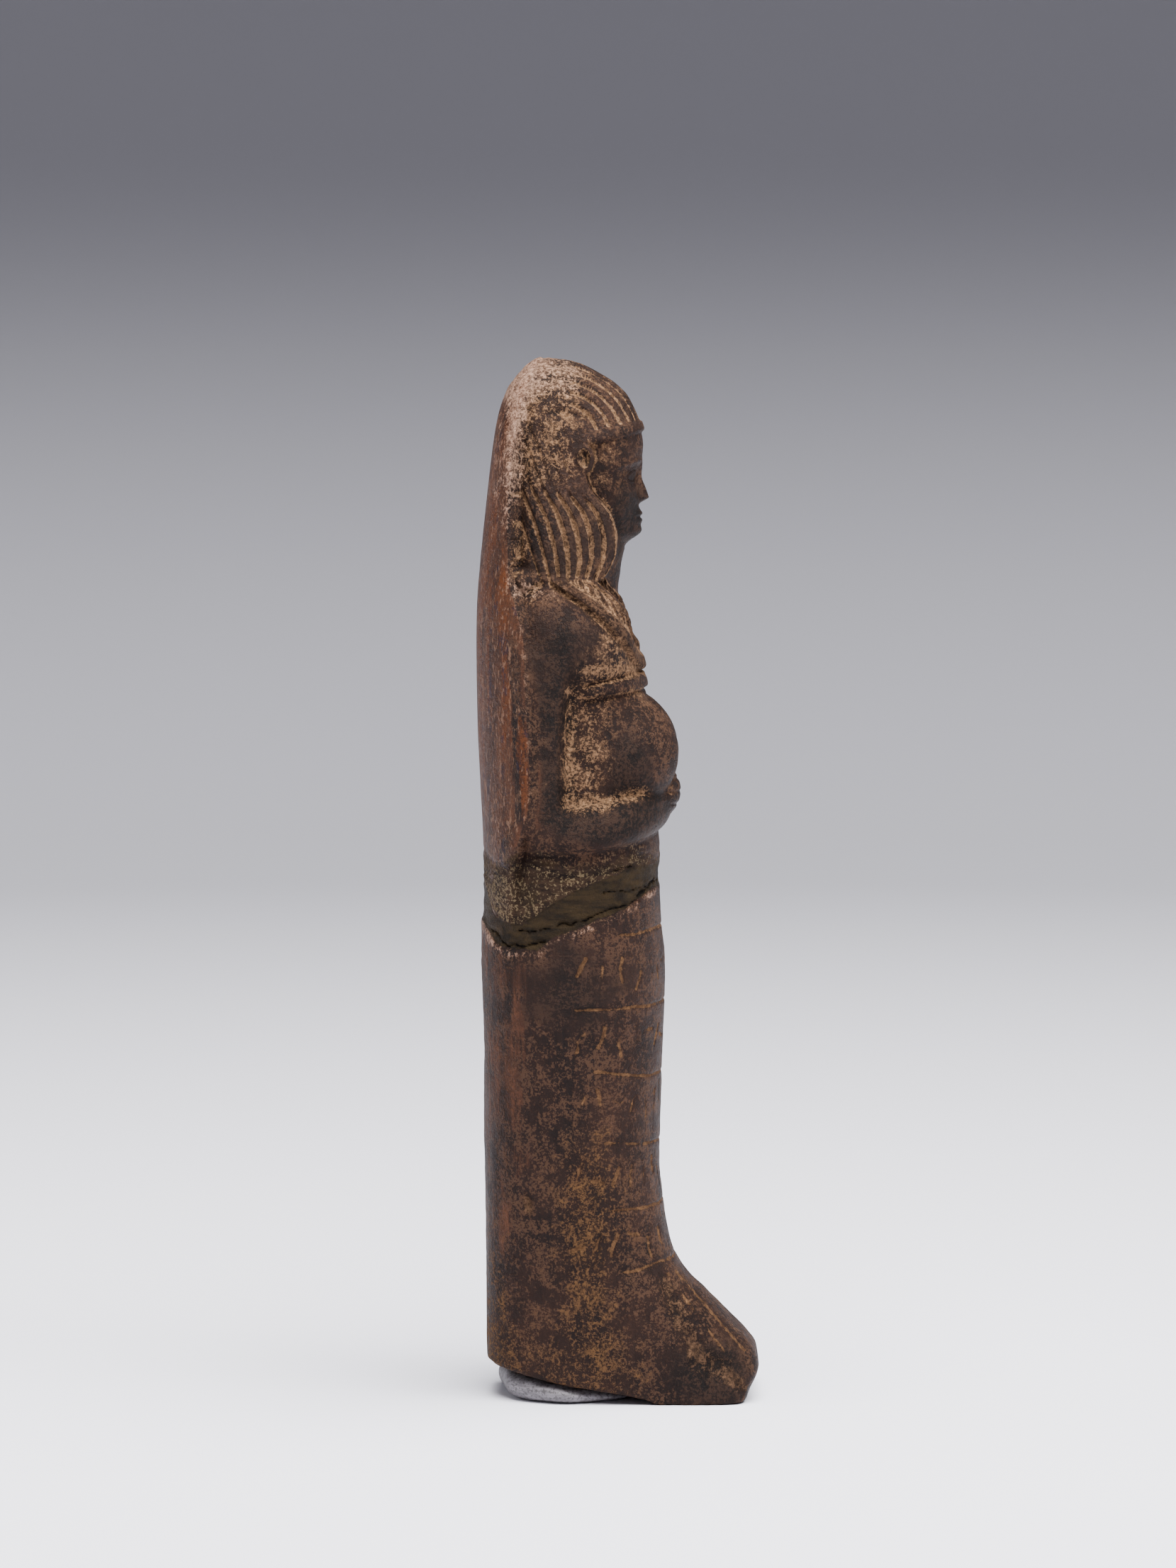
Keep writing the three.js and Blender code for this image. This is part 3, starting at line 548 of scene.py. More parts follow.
def registers_at(x, f, z):
    """Depth of the lines between the rows of strokes, from 0 to 1."""
    depth = 0
    wander = 0.2 * noise(x, f, z, 4, 34)
    for side, front, reach in REGISTERS:
        height = side + (front - side) * step(reach, 16, f) + wander
        depth = np.maximum(depth, bell(z - height, 0.32) * step(reach - 1.2, reach + 0.3, f))
    return depth * step(-1, -0.4, noise(x, f, z, 3, 35))


def scratches_at(x, f, z):
    """Long light scratches down the slope of the right-hand side of the foot, from 0 to 1."""
    low = to_line(f, z, ((16.6, 22.6), (22.5, 14.6), (28.6, 6.4)))
    high = to_line(f, z, ((18.2, 22.4), (24.6, 15.2), (30.4, 8.6)))
    return bell(np.minimum(low, high), 0.22) * step(0, -2, x) * step(-0.5, 0.1, noise(x, f, z, 2, 36))


# Cracks on the right-hand side as (forward, height) runs, each with its width.
CRACKS = (
    (((7.3, 92.7), (8.5, 93.3), (10.3, 93.7)), 0.2),
    (((6, 89.2), (10.9, 89.6), (14.2, 90), (15, 90.1)), 0.14),
    (((11.6, 88.6), (13.6, 89.6), (14.2, 90.5)), 0.34),
    (((-2.4, 83.9), (2.3, 84.5), (4.6, 85.7), (8.5, 86.6), (11.6, 87.8)), 0.2),
    (((-13.3, 82.3), (-11, 80), (-6.3, 80.4), (-4.4, 81.2)), 0.16),
    (((-9, 82.7), (-6, 82.9), (-3.2, 83.3)), 0.13),
)


def cracks_at(x, f, z):
    """Depth of the cracks, from 0 to 1. On the left-hand side only the break itself shows."""
    across = f + 0.4 * rough(x, f, z, 1.5, 41)
    height = z + 0.5 * rough(x, f, z, 1.4, 42)
    depth = np.zeros_like(x)
    near = (x < 0) & (z > 77) & (z < 96)
    for points, width in CRACKS:
        away = to_line(across[near], height[near], points)
        thick = width * (0.7 + 0.6 * noise(x[near], f[near], z[near], 1.1, 43))
        depth[near] = np.maximum(depth[near], np.exp(-(away / np.clip(thick, 0.05, None)) ** 2))
    hidden = bell(height - break_line(f), 0.16) * step(0, 2, x) * step(-0.5, 0.2, noise(x, f, z, 2, 44))
    return np.maximum(depth, hidden)


fill_top = track((-16, 93), (-12.5, 84.5), (-9.4, 83.4), (-2.4, 87.8), (4.6, 91.2), (10.5, 93.2),
                 (17, 93.6))


def mend_at(x, f, z):
    """The mended zone: the smooth fill above the break, and the rough stone over it, from 0 to 1."""
    up = z - break_line(f) + 0.35 * rough(x, f, z, 1.6, 45)
    top = fill_top(f) + 0.5 * rough(x, f, z, 2.5, 46)
    fill = step(-0.15, 0.15, up) * step(0.5, -0.5, z - top)
    ragged = step(-0.5, 0.5, up) * step(3, -3, z - 94.5 - 0.1 * f + 2.5 * noise(x, f, z, 5, 47))
    return fill, ragged * (1 - fill)


FOOT_ARRIS = ((15.2, 22.1), (18.1, 16.2), (22, 8.2), (26.5, 6.4), (29.7, 2.8))
foot_arris = track((14, 24), *FOOT_ARRIS)


def chip_at(x, f, z):
    """The chipped arris along the right-hand side of the foot, from 0 to 1."""
    away = to_line(f, z, FOOT_ARRIS)
    wide = 1.2 + 1.6 * bell(f - 22.5, 4)
    return bell(away, wide) * step(2, -2, x + 9) * step(14, 17, f)


def instep_at(f, z):
    """The worn slope on top of the foot, from 0 to 1."""
    return step(-0.3, 0.8, z - foot_arris(f)) * step(14.5, 16.5, f) * step(24, 20, z)


def pit_at(x, f, z):
    """The small pit low on the right-hand side, from 0 to 1."""
    return bell(np.hypot((f + 7.3 + 0.1 * (z - 35)) / 0.75, (z - 35.2) / 1.7), 1) * (x < 0)


def worn_head_at(x, f, z):
    """The worn and pitted side of the wig behind the ear and over the crown, from 0 to 1."""
    wander = 1.6 * rough(x, f, z, 3, 49)
    side = step(154, 160, z - 0.3 * (f + 6) + wander) * step(5, -3.5, f + wander)
    return side * step(-11.5, -10, f) * step(147, 150, z)


def scar_at(f, z):
    """The deep scar across the crown, from 0 to 1."""
    return bell(np.hypot((f + 0.5) / 4, (z - 170.4 + 0.14 * f) / 0.9), 1)


def relief(x, f, z):
    """How far the fine marks stand out from the carved skin, in millimetres."""
    fill, ragged = mend_at(x, f, z)
    worn = worn_head_at(x, f, z)
    out = 0.13 * noise(x, f, z, (8, 8, 12), 11) + 0.09 * rough(x, f, z, 2.6, 12)
    out *= 1 - 0.75 * plate_at(x, f, z)
    out -= 0.2 * strokes_at(x, f, z) + 0.2 * registers_at(x, f, z)
    out -= 0.55 * cracks_at(x, f, z)
    out += (0.32 * rough(x, f, z, (4, 4, 0.9), 13) - 0.08) * ragged
    out += (0.18 * rough(x, f, z, (4, 4, 1), 14) - 0.06) * fill
    out -= (0.55 + 0.5 * np.abs(rough(x, f, z, 1.8, 15))) * chip_at(x, f, z)
    out -= 0.6 * pit_at(x, f, z)
    out += 0.24 * rough(x, f, z, (1.6, 1.2, 1.6), 16) * worn - 0.6 * scar_at(f, z)
    strand = np.cos(2 * np.pi * (f + 0.35 * (z - 160) + 0.5 * noise(x, f, z, 3, 17)) / 1.9)
    out -= 0.25 * np.clip(strand - 0.2, 0, 1) * worn * step(170, 168, z)
    return out


def plate_at(x, f, z):
    """The smooth back plate, from 0 to 1; it fades out below the break."""
    return step(0.4, -0.4, f - slab_ridge(z) - 0.15) * step(79, 84, z)


def rows_of_collar(x, f, z):
    """Where the collar is, from 0 to 1, its rows, and the turn round the neck."""
    _, carried_x, forward = trunk(x, f, z)
    row = collar_row(forward, z)
    turn = np.arctan2(np.abs(carried_x), forward + 3)
    zone = step(-1.6, -1.1, row) * step(5.4, 4.9, row) * step(143, 142, z) * step(-2.5, -1, forward)
    return zone, row, turn


# ---- Where each finish lies ----
# Spots of each stain as (share, forward, height, half width, half height).
# Of the dark spots, the last lies in the ear's hollow and is painted shade.
DARK_SPOTS = ((0.75, 0, 131, 8, 8), (0.8, 10, 111.5, 5, 7), (0.8, 13, 103, 7, 4), (0.8, 4, 100.5, 9, 4),
              (0.6, 1, 70, 10, 13), (1, 24, 5, 9, 6), (0.8, EAR_F, EAR_Z, 1, 1.5))
CHEST_DUST = ((0.34, 3, 113, 4.5, 11), (0.4, 9, 131, 6, 5))
HEAD_DUST = ((0.1, 7, 158, 4, 7), (0.35, -8.6, 147, 2, 5))
HEM_DUST = ((0.2, 2.5, 124, 2.2, 2.5),)
OCHRE_SPOTS = ((0.4, 3, 32, 6, 22), (0.28, -13, 12, 3, 20))
ARM_RUST = ((0.4, -5, 112, 3, 16),)
# Pale on the shoulder's top: wear, and a painted highlight where light falls from above.
SHOULDER_WEAR_AND_HIGHLIGHT = ((0.55, -7.5, 141, 2.6, 1.6), (0.15, -3, 140.5, 5, 1.6))
MEND_CRUMBS = ((0.7, -13, 86, 3.5, 6),)


class Skin:
    """Points of the carved skin, each facing along its normal, with the zones that the stains share."""

    def __init__(self, x, f, z, normal):
        self.x, self.f, self.z, self.normal = x, f, z, normal
        self.plate = plate_at(x, f, z)
        self.body = 1 - self.plate
        self.legs = step(0.5, -0.5, z - break_line(f))
        self.chest = step(100, 103, z) * step(143, 141, z) * self.body
        self.head = step(142, 144, z) * self.body
        self.worn = worn_head_at(x, f, z)
        self.off_ridge = np.maximum(step(1.4, 3.4, f - slab_ridge(z)), 0.6 * self.head)
        self.collared, self.row, self.turn = rows_of_collar(x, f, z)

    def hollow(self, reach):
        """How far the stone ahead closes in within reach, from 0 to 1."""
        ahead = [v + reach * n for v, n in zip((self.x, self.f, self.z), self.normal)]
        return np.clip(1 - figure(*ahead) / reach, 0, 1)

    def spots(self, places):
        """Soft spots, summed."""
        return sum(share * bell(np.hypot((self.f - forward) / wide, (self.z - height) / tall), 1)
                   for share, forward, height, wide, tall in places)


def dark_share(skin):
    """Nearly black stone: smooth limbs, the arm beside the plate, the neck, the locks and the scar; in
    each ear's hollow it is painted shade.
    """
    f, z = skin.f, skin.z
    dark = skin.spots(DARK_SPOTS)
    dark += 0.65 * step(-6.5, -4.5, f) * step(3, 0, f) * skin.chest * step(128, 120, z)
    dark += 0.35 * step(140, 146, z) * step(7, 9, f)
    dark += 0.4 * skin.head * step(161, 155, z) + 0.7 * scar_at(f, z)
    return np.clip(dark, 0, 1)


def tan_share(skin, dark):
    """Tan dust: loose on the chest and head, thick along edges and in the cuts; along the forearm's top it
    is tan dust and a painted highlight.
    """
    f, z = skin.f, skin.z
    loose = 0.22 * step(0.08, 0.45, skin.hollow(4.5)) * skin.chest * skin.off_ridge
    loose += skin.spots(CHEST_DUST) * skin.chest + skin.spots(HEAD_DUST)
    loose += 0.3 * skin.worn + 0.14 * skin.head + 0.1 * skin.chest + 0.15 * instep_at(f, z)
    tan = loose * (1 - 0.6 * dark) * (1 - skin.collared)
    # Along the forearm's top: tan dust, and a painted highlight where light falls from above.
    forearm_top = 104.4 + 0.0145 * np.clip(f - 0.8, 0, None) ** 2
    tan += 0.42 * bell(z - forearm_top, 1.3) * step(-2.5, -1, f) * step(15, 11, f)
    tan += 0.28 * bell(f + 0.2, 1.1) * step(103, 105, z) * step(127, 122, z)
    tan += 0.35 * bell(z - 127.2, 1.1) * step(0, 3, f) + skin.spots(HEM_DUST)
    on_wig = np.maximum(step(0.4, -0.2, f - wig_edge(z)), step(0, 0.5, z - fillet_height(f)))
    lock_cuts = step(0.3, 0.65, locks(np.abs(skin.x), f, z) * on_wig) * skin.head
    grooves = step(0.28, 0.6, skin.hollow(1.2)) * step(96, 99, z) * skin.off_ridge * (1 - skin.collared)
    return np.maximum(tan, 0.95 * np.maximum(grooves, lock_cuts))


def ochre_share(skin):
    """Ochre dirt low on the legs and over the foot."""
    z = skin.z
    return skin.spots(OCHRE_SPOTS) + 0.2 * step(22, 6, z) * step(18, 8, skin.f) + 0.08 * step(60, 40, z)


def red_share(skin):
    """Reddish stone: the back plate but for a strip along its ridge, and the backs of arms and legs; on
    the backs of the legs it is also painted light falling from behind.
    """
    f, z = skin.f, skin.z
    strip = bell(f - slab_ridge(z) + 1.5, 1.5) * step(140, 130, z)
    # The backs of the legs: reddish stone, made lighter with painted light falling from behind.
    behind_legs_red_and_lit = 0.42 * skin.legs * step(-3, -9, f) * step(8, 30, z)
    return skin.plate * (1 - 0.75 * strip) + behind_legs_red_and_lit + skin.spots(ARM_RUST) * skin.body


def pale_share(skin):
    """Pale wear on the crown, the ridge of the plate, the shoulder and both lips of the break; on the
    crown's top, along the plate's ridge and on the shoulder's top it is also a painted highlight.
    """
    f, z = skin.f, skin.z
    from_ridge = f - slab_ridge(z)
    # The second term, pale on the crown's top, is wear and a painted highlight from the light above.
    pale = 0.3 * skin.worn * step(-6, -9, f) * step(150, 158, z) + 0.4 * step(171, 176, z) * step(5, -1, f)
    pale += 0.24 * bell(from_ridge - 1, 2) * step(146, 160, z) + 0.28 * skin.plate * step(135, 165, z)
    # The first term, a thin pale line along the plate's ridge, is wear on the arris and a painted
    # highlight.
    pale += 0.2 * bell(from_ridge - 0.2, 0.5) * step(96, 99, z) + 0.3 * bell(z - break_line(f) + 0.9, 0.8)
    return pale + skin.spots(SHOULDER_WEAR_AND_HIGHLIGHT) * skin.body + skin.spots(MEND_CRUMBS)


def zones(x, f, z, normal):
    """Share, from 0 to 1, that each finish covers at each point, with the collar's rows and turn."""
    skin = Skin(x, f, z, normal)
    dark = dark_share(skin)
    fill, ragged = mend_at(x, f, z)
    return {
        "plate": skin.plate, "dark": dark * skin.body, "tan": tan_share(skin, dark) * skin.body,
        "ochre": ochre_share(skin) * skin.body * skin.legs, "red": red_share(skin),
        "pale": pale_share(skin), "fill": fill, "ragged": ragged,
        "collar": skin.collared, "row": np.clip(skin.row, -4, 8), "turn": skin.turn,
        "stroke": np.maximum.reduce([strokes_at(x, f, z), registers_at(x, f, z), scratches_at(x, f, z)]),
        "crack": cracks_at(x, f, z), "chip": np.maximum(0.6 * chip_at(x, f, z), pit_at(x, f, z)),
    }


# ---- Meshes ----
MOST_TRIANGLES = 194000


def choose(piece):
    """Makes a piece the only one selected."""
    bpy.ops.object.select_all(action="DESELECT")
    piece.select_set(True)
    bpy.context.view_layer.objects.active = piece


def read_vectors(items, name):
    """One array for each axis."""
    flat = np.empty(3 * len(items), np.float32)
    items.foreach_get(name, flat)
    return flat.reshape(-1, 3).T.astype(float)


def ball(name, columns, rows):
    """A ball wrapped from a grid, with each point's row, counted from the bottom, and its column."""
    bpy.ops.object.select_all(action="DESELECT")
    bpy.ops.mesh.primitive_grid_add(x_subdivisions=columns, y_subdivisions=rows, size=2)
    made = bpy.context.object
    made.name = made.data.name = name
    at = read_vectors(made.data.vertices, "co")
    turn = 2 * np.pi * (np.rint((at[0] + 1) / 2 * columns) % columns) / columns
    rise = np.pi * np.rint((at[1] + 1) / 2 * rows) / rows
    wrapped = np.stack([np.sin(rise) * np.cos(turn), np.sin(rise) * np.sin(turn), -np.cos(rise)], axis=-1)
    made.data.vertices.foreach_set("co", wrapped.astype(np.float32).ravel())
    bpy.ops.object.mode_set(mode="EDIT")
    bpy.ops.mesh.select_all(action="SELECT")
    bpy.ops.mesh.remove_doubles(threshold=1e-6)
    bpy.ops.object.mode_set(mode="OBJECT")
    at = read_vectors(made.data.vertices, "co")
    row = np.rint(np.arccos(np.clip(-at[2], -1, 1)) * rows / np.pi).astype(int)
    column = np.rint(np.arctan2(at[1], at[0]) * columns / (2 * np.pi)).astype(int) % columns
    return made, row, column


def lay(piece, x, f, z):
    """Puts every point of a piece in its place."""
    places = np.stack([x, MIDDLE - f, z], axis=-1) * MM
    piece.data.vertices.foreach_set("co", places.astype(np.float32).ravel())
    piece.data.update()


def thin(piece, most):
    """Thins a piece's mesh where its skin is plain."""
    triangles = sum(len(face.vertices) - 2 for face in piece.data.polygons)
    modifier = piece.modifiers.new("Thin", "DECIMATE")
    modifier.ratio = min(1, most / triangles)
    bpy.ops.object.modifier_apply(modifier=modifier.name)


def carve_figurine():
    """The carved figure: a ball shrunk onto the field, with the fine marks pressed in."""
    piece, row, column = ball("carved_figurine", COLUMNS, ROWS)
    skin = shrink_figure()
    skin = skin + grid_normals(skin) * relief(*skin)
    ends = [skin[:, [i]].mean(axis=2, keepdims=True) + 0 * skin[:, [i]] for i in (0, -1)]
    skin = np.concatenate([ends[0], skin, ends[1]], axis=1)
    lay(piece, *skin[:, row, column])
    thin(piece, MOST_TRIANGLES)
    choose(piece)
    bpy.ops.object.shade_smooth()
    return piece


def mark_zones(piece):
    """Keeps each zone's amount at the points of the mesh, for the finish to read."""
    at = read_vectors(piece.data.vertices, "co") / MM
    normal = read_vectors(piece.data.vertex_normals, "vector")
    for name, amount in zones(at[0], MIDDLE - at[1], at[2], normal * [[1], [-1], [1]]).items():
        layer = piece.data.attributes.new(name, "FLOAT", "POINT")
        layer.data.foreach_set("value", (amount + 0 * at[0]).astype(np.float32))


# The putty's middle, reach forward and aside, squareness, and how far it is cut flat below.
PAD_MIDDLE, PAD_LENGTH, PAD_WIDTH, PAD_SQUARE, PAD_SINK = -0.5, 12, 13, 2.6, 0.25


def press_pad():
    """The lump of putty under the heel: flat below, and above pressed to the rising sole."""
    piece, _, _ = ball("pressed_putty", 160, 80)
    at = read_vectors(piece.data.vertices, "co")
    turn = np.arctan2(at[0], -at[1])
    level = at[2]
    out = np.sqrt(np.clip(1 - level ** 2, 0, 1)) ** 0.3
    lumpy = 1 + 0.035 * np.sin(3 * turn + 0.6) + 0.02 * np.sin(7 * turn)
    square = np.abs(np.sin(turn)) ** PAD_SQUARE + np.abs(np.cos(turn)) ** PAD_SQUARE
    spread = out * lumpy / square ** (1 / PAD_SQUARE)
    forward = PAD_MIDDLE + PAD_LENGTH * spread * np.cos(turn)
    aside = PAD_WIDTH * spread * np.sin(turn)
    top = sole(forward) - 0.1 + 0.25 * step(0.7, 1, out) * step(0, -8, forward)
    height = np.clip((top + PAD_SINK) * (1 + level) / 2 - PAD_SINK, 0, None)
    crease = 0.16 * bell(forward - 2.2 + 0.5 * np.sin(height * 2), 0.3) * step(0.8, 1, out)
    shrunk = 1 - crease / PAD_WIDTH
    lay(piece, aside * shrunk, PAD_MIDDLE + (forward - PAD_MIDDLE) * shrunk, height)
    choose(piece)
    bpy.ops.object.shade_smooth()
    return piece


# ---- Finishes ----
def tone(red, green, blue):
    """A colour as a screen shows it, from 0 to 255, turned into light."""
    return tuple(((c / 255 + 0.055) / 1.055) ** 2.4 for c in (red, green, blue)) + (1,)


class Amount:
    """A number that changes over the surface. Sums of amounts are written as sums."""

    def __init__(self, finish, socket):
        self.finish, self.socket = finish, socket

    def __add__(self, other):
        return self.finish.sum("ADD", self, other)

    def __sub__(self, other):
        return self.finish.sum("SUBTRACT", self, other)

    def __rsub__(self, other):
        return self.finish.sum("SUBTRACT", other, self)

    def __mul__(self, other):
        return self.finish.sum("MULTIPLY", self, other)

    def over(self, other):
        """The larger of the two."""
        return self.finish.sum("MAXIMUM", self, other)

    __radd__, __rmul__ = __add__, __mul__


class Finish:
    """A material whose colour, roughness and bump are worked out from the place on the piece."""

    def __init__(self, name):
        self.material = bpy.data.materials.new(name)
        self.material.use_nodes = True
        self.tree = self.material.node_tree
        self.shader = self.tree.nodes["Principled BSDF"]
        self.place = self.node("TexCoord").outputs["Object"]

    def node(self, kind, settings=None, **inputs):
        """Adds a node: its settings first, then the values or links of its sockets, by identifier."""
        made = self.tree.nodes.new("ShaderNode" + kind)
        for name, value in (settings or {}).items():
            setattr(made, name, value)
        sockets = {socket.identifier: socket for socket in made.inputs}
        for name, value in inputs.items():
            self.feed(sockets[name], value)
        return made

    def feed(self, socket, value):
        """Links a socket to an amount or another socket, or sets its value."""
        value = value.socket if isinstance(value, Amount) else value
        if isinstance(value, bpy.types.NodeSocket):
            self.tree.links.new(value, socket)
        else:
            socket.default_value = value

    def sum(self, operation, a, b):
        """One operation on two amounts or numbers."""
        made = self.node("Math", {"operation": operation}, Value=a, Value_001=b)
        return Amount(self, made.outputs[0])

    def painted(self, name):
        """An amount kept at the points of the mesh."""
        return Amount(self, self.node("Attribute", {"attribute_name": name}).outputs["Fac"])

    def noise(self, size, detail=4.0, roughness=0.6, stretch=(1, 1, 1), seed=0):
        """Noise of about this size in millimetres, from 0 to 1. A stretch under 1 draws it out."""
        shift = (seed, 2 * seed, 3 * seed)
        place = self.node("Mapping", Vector=self.place, Location=shift, Scale=stretch)
        made = self.node("TexNoise", Vector=place.outputs[0], Scale=1 / (size * MM), Detail=detail,
                         Roughness=roughness)
        return self.ease(Amount(self, made.outputs[0]), 0.3, 0.7)

    def ease(self, amount, low, high):
        """0 below low and 1 above high."""
        made = self.node("MapRange", {"interpolation_type": "SMOOTHSTEP"}, Value=amount,
                         **{"From Min": low, "From Max": high})
        return Amount(self, made.outputs[0])

    def cover(self, share, noise, soft):
        """Where a finish lies that covers about this share: nothing at share 0, all at share 1."""
        return self.ease(share * (1 + soft) + noise, 1, 1 + soft)

    def mix(self, share, first, second):
        """The first colour at share 0, the second at share 1."""
        made = self.node("Mix", {"data_type": "RGBA"}, Factor_Float=share, A_Color=first, B_Color=second)
        return made.outputs[2]

    def bump(self, height, depth):
        """Shallow relief, depth in millimetres."""
        return self.node("Bump", Height=height, Distance=depth * MM, Strength=1.0).outputs[0]

    def set(self, **inputs):
        """Sets the shader's own sockets, named with _ for a space."""
        for name, value in inputs.items():
            self.feed(self.shader.inputs[name.replace("_", " ")], value)


class Stone(Finish):
    """The finish of the figurine, with the grains that all of its layers share."""

    def __init__(self):
        super().__init__("polished_stone")
        self.broad = self.noise(12, 3)
        self.patchy = self.noise(4, 6, 0.7, seed=3)
        self.grain = self.noise(1.1, 5, 0.75, seed=5)
        self.speck = self.noise(0.5, 3, 0.8, seed=7)
        self.streaky = self.noise(2.6, 6, 0.7, (1, 1, 0.12), seed=9)
        self.brushed = self.noise(2.4, 5, 0.7, (1, 0.35, 1.6), seed=17)
        self.fine = self.ease(self.grain * 0.4 + self.speck * 0.6, 0.2, 0.8)
        self.mottled = self.ease(self.fine * 0.5 + self.patchy * 0.5, 0.25, 0.75)
        self.crust = self.mix(self.fine * 0.7 + self.patchy * 0.3, tone(48, 34, 25), tone(148, 113, 83))

    def stain(self, name, tint):
        """A stained zone: a soft tint, with fine specks that make up the rest."""
        share = self.painted(name)
        clustered = self.fine * 0.65 + self.patchy * 0.35
        return (self.cover(share, self.patchy, 0.6) * tint
                + self.cover(share, clustered, 0.25) * (1 - tint))


def bare_stone(stone):
    """Dark brown stone, mottled and specked."""
    shade = stone.broad * 0.4 + stone.streaky * 0.3 + stone.mottled * 0.3
    colour = stone.mix(shade, tone(14, 9, 8), tone(48, 30, 22))
    return stone.mix(stone.cover(0.3, stone.mottled, 0.3) * 0.35, colour, tone(92, 66, 48))


def reddish_plate(stone, colour, plate):
    """Reddish brown, with orange runs, bluish smudges and pale flecks on the plate itself."""
    # Reddish stone, and on the backs of the legs painted light.
    red = stone.cover(stone.painted("red"), stone.streaky * 0.6 + stone.broad * 0.4, 0.35)
    reddish = stone.mix(stone.streaky * 0.6 + stone.mottled * 0.4, tone(34, 19, 14), tone(82, 51, 34))
    reddish = stone.mix(stone.cover(0.35, stone.patchy, 0.3) * 0.6, reddish, tone(34, 20, 16))
    colour = stone.mix(red, colour, reddish)
    orange = stone.cover(0.35, stone.noise(5, 5, 0.65, (1, 1, 0.16), seed=13), 0.25)
    colour = stone.mix(orange * plate * (stone.mottled * 0.5 + 0.25), colour, tone(84, 43, 16))
    smudge = stone.cover(0.18, stone.noise(2.8, 4, 0.7, (1, 1, 0.5), seed=15), 0.08)
    colour = stone.mix(smudge * plate * 0.6, colour, tone(30, 22, 34))
    fleck = stone.cover(stone.broad * 0.16 + 0.14, stone.noise(0.6, 3, 0.7, (1, 1, 0.4), seed=11), 0.15)
    return stone.mix(fleck * plate * 0.5, colour, tone(128, 98, 78))


def darkened(stone, colour):
    """Nearly black where the stone is best polished, and as painted shade in the ears' hollows."""
    dark = stone.cover(stone.painted("dark"), stone.fine * 0.4 + stone.broad * 0.6, 0.4)
    return stone.mix(dark * 0.8, colour, stone.mix(stone.mottled, tone(9, 7, 6), tone(38, 26, 20)))


def dusty_collar(stone, colour, collar):
    """Dust between the raised beads, petals, thread and edge of the collar."""
    row, turn = stone.painted("row"), stone.painted("turn")

    def on_row(at, half):
        """1 on a row of the collar, falling to 0 beyond half its width."""
        return 1 - stone.ease(stone.sum("ABSOLUTE", row - at, 0), half * 0.7, half * 1.3)

    beads = stone.ease(stone.sum("COSINE", turn * BEADS_TURN, 0), -0.2, 0.4) * on_row(BEAD_ROW, 0.5)
    petals = stone.ease(stone.sum("COSINE", turn * PETALS_TURN, 0), 0, 0.5)
    low_petals, high_petals = (on_row(at, half) for at, half in zip(PETAL_ROWS, (0.36, 0.32)))
    raised = beads.over(petals * low_petals.over(high_petals))
    raised = raised.over(on_row(THREAD_ROW, 0.2)).over(on_row(0, 0.55))
    dust = collar * (1 - raised * 0.85) * (stone.fine * 0.6 + 0.35)
    return stone.mix(dust, colour, stone.crust)


def olive_mend(stone, colour):
    """The ragged stone over the mend, with pale crumbs, and the smooth olive fill."""
    ragged, patchy = stone.painted("ragged"), stone.patchy
    mossy = stone.mix(stone.brushed, tone(20, 15, 13), tone(64, 48, 36))
    mossy = stone.mix(stone.cover(0.3, patchy, 0.3) * 0.4, mossy, tone(42, 36, 22))
    broken = stone.cover(ragged * 0.9, patchy * 0.6 + stone.grain * 0.4, 0.5)
    colour = stone.mix(broken * 0.85, colour, mossy)
    crumbs = ragged * stone.cover(stone.painted("pale") * 0.5 + 0.14, stone.fine, 0.12)
    colour = stone.mix(crumbs * 0.6, colour, tone(128, 110, 82))
    fill = stone.cover(stone.painted("fill"), stone.fine * 0.5 + patchy * 0.5, 0.3)
    olive = stone.mix(stone.brushed, tone(18, 14, 9), tone(48, 37, 21))
    return stone.mix(fill * 0.95, colour, olive), broken.over(fill * 0.5)


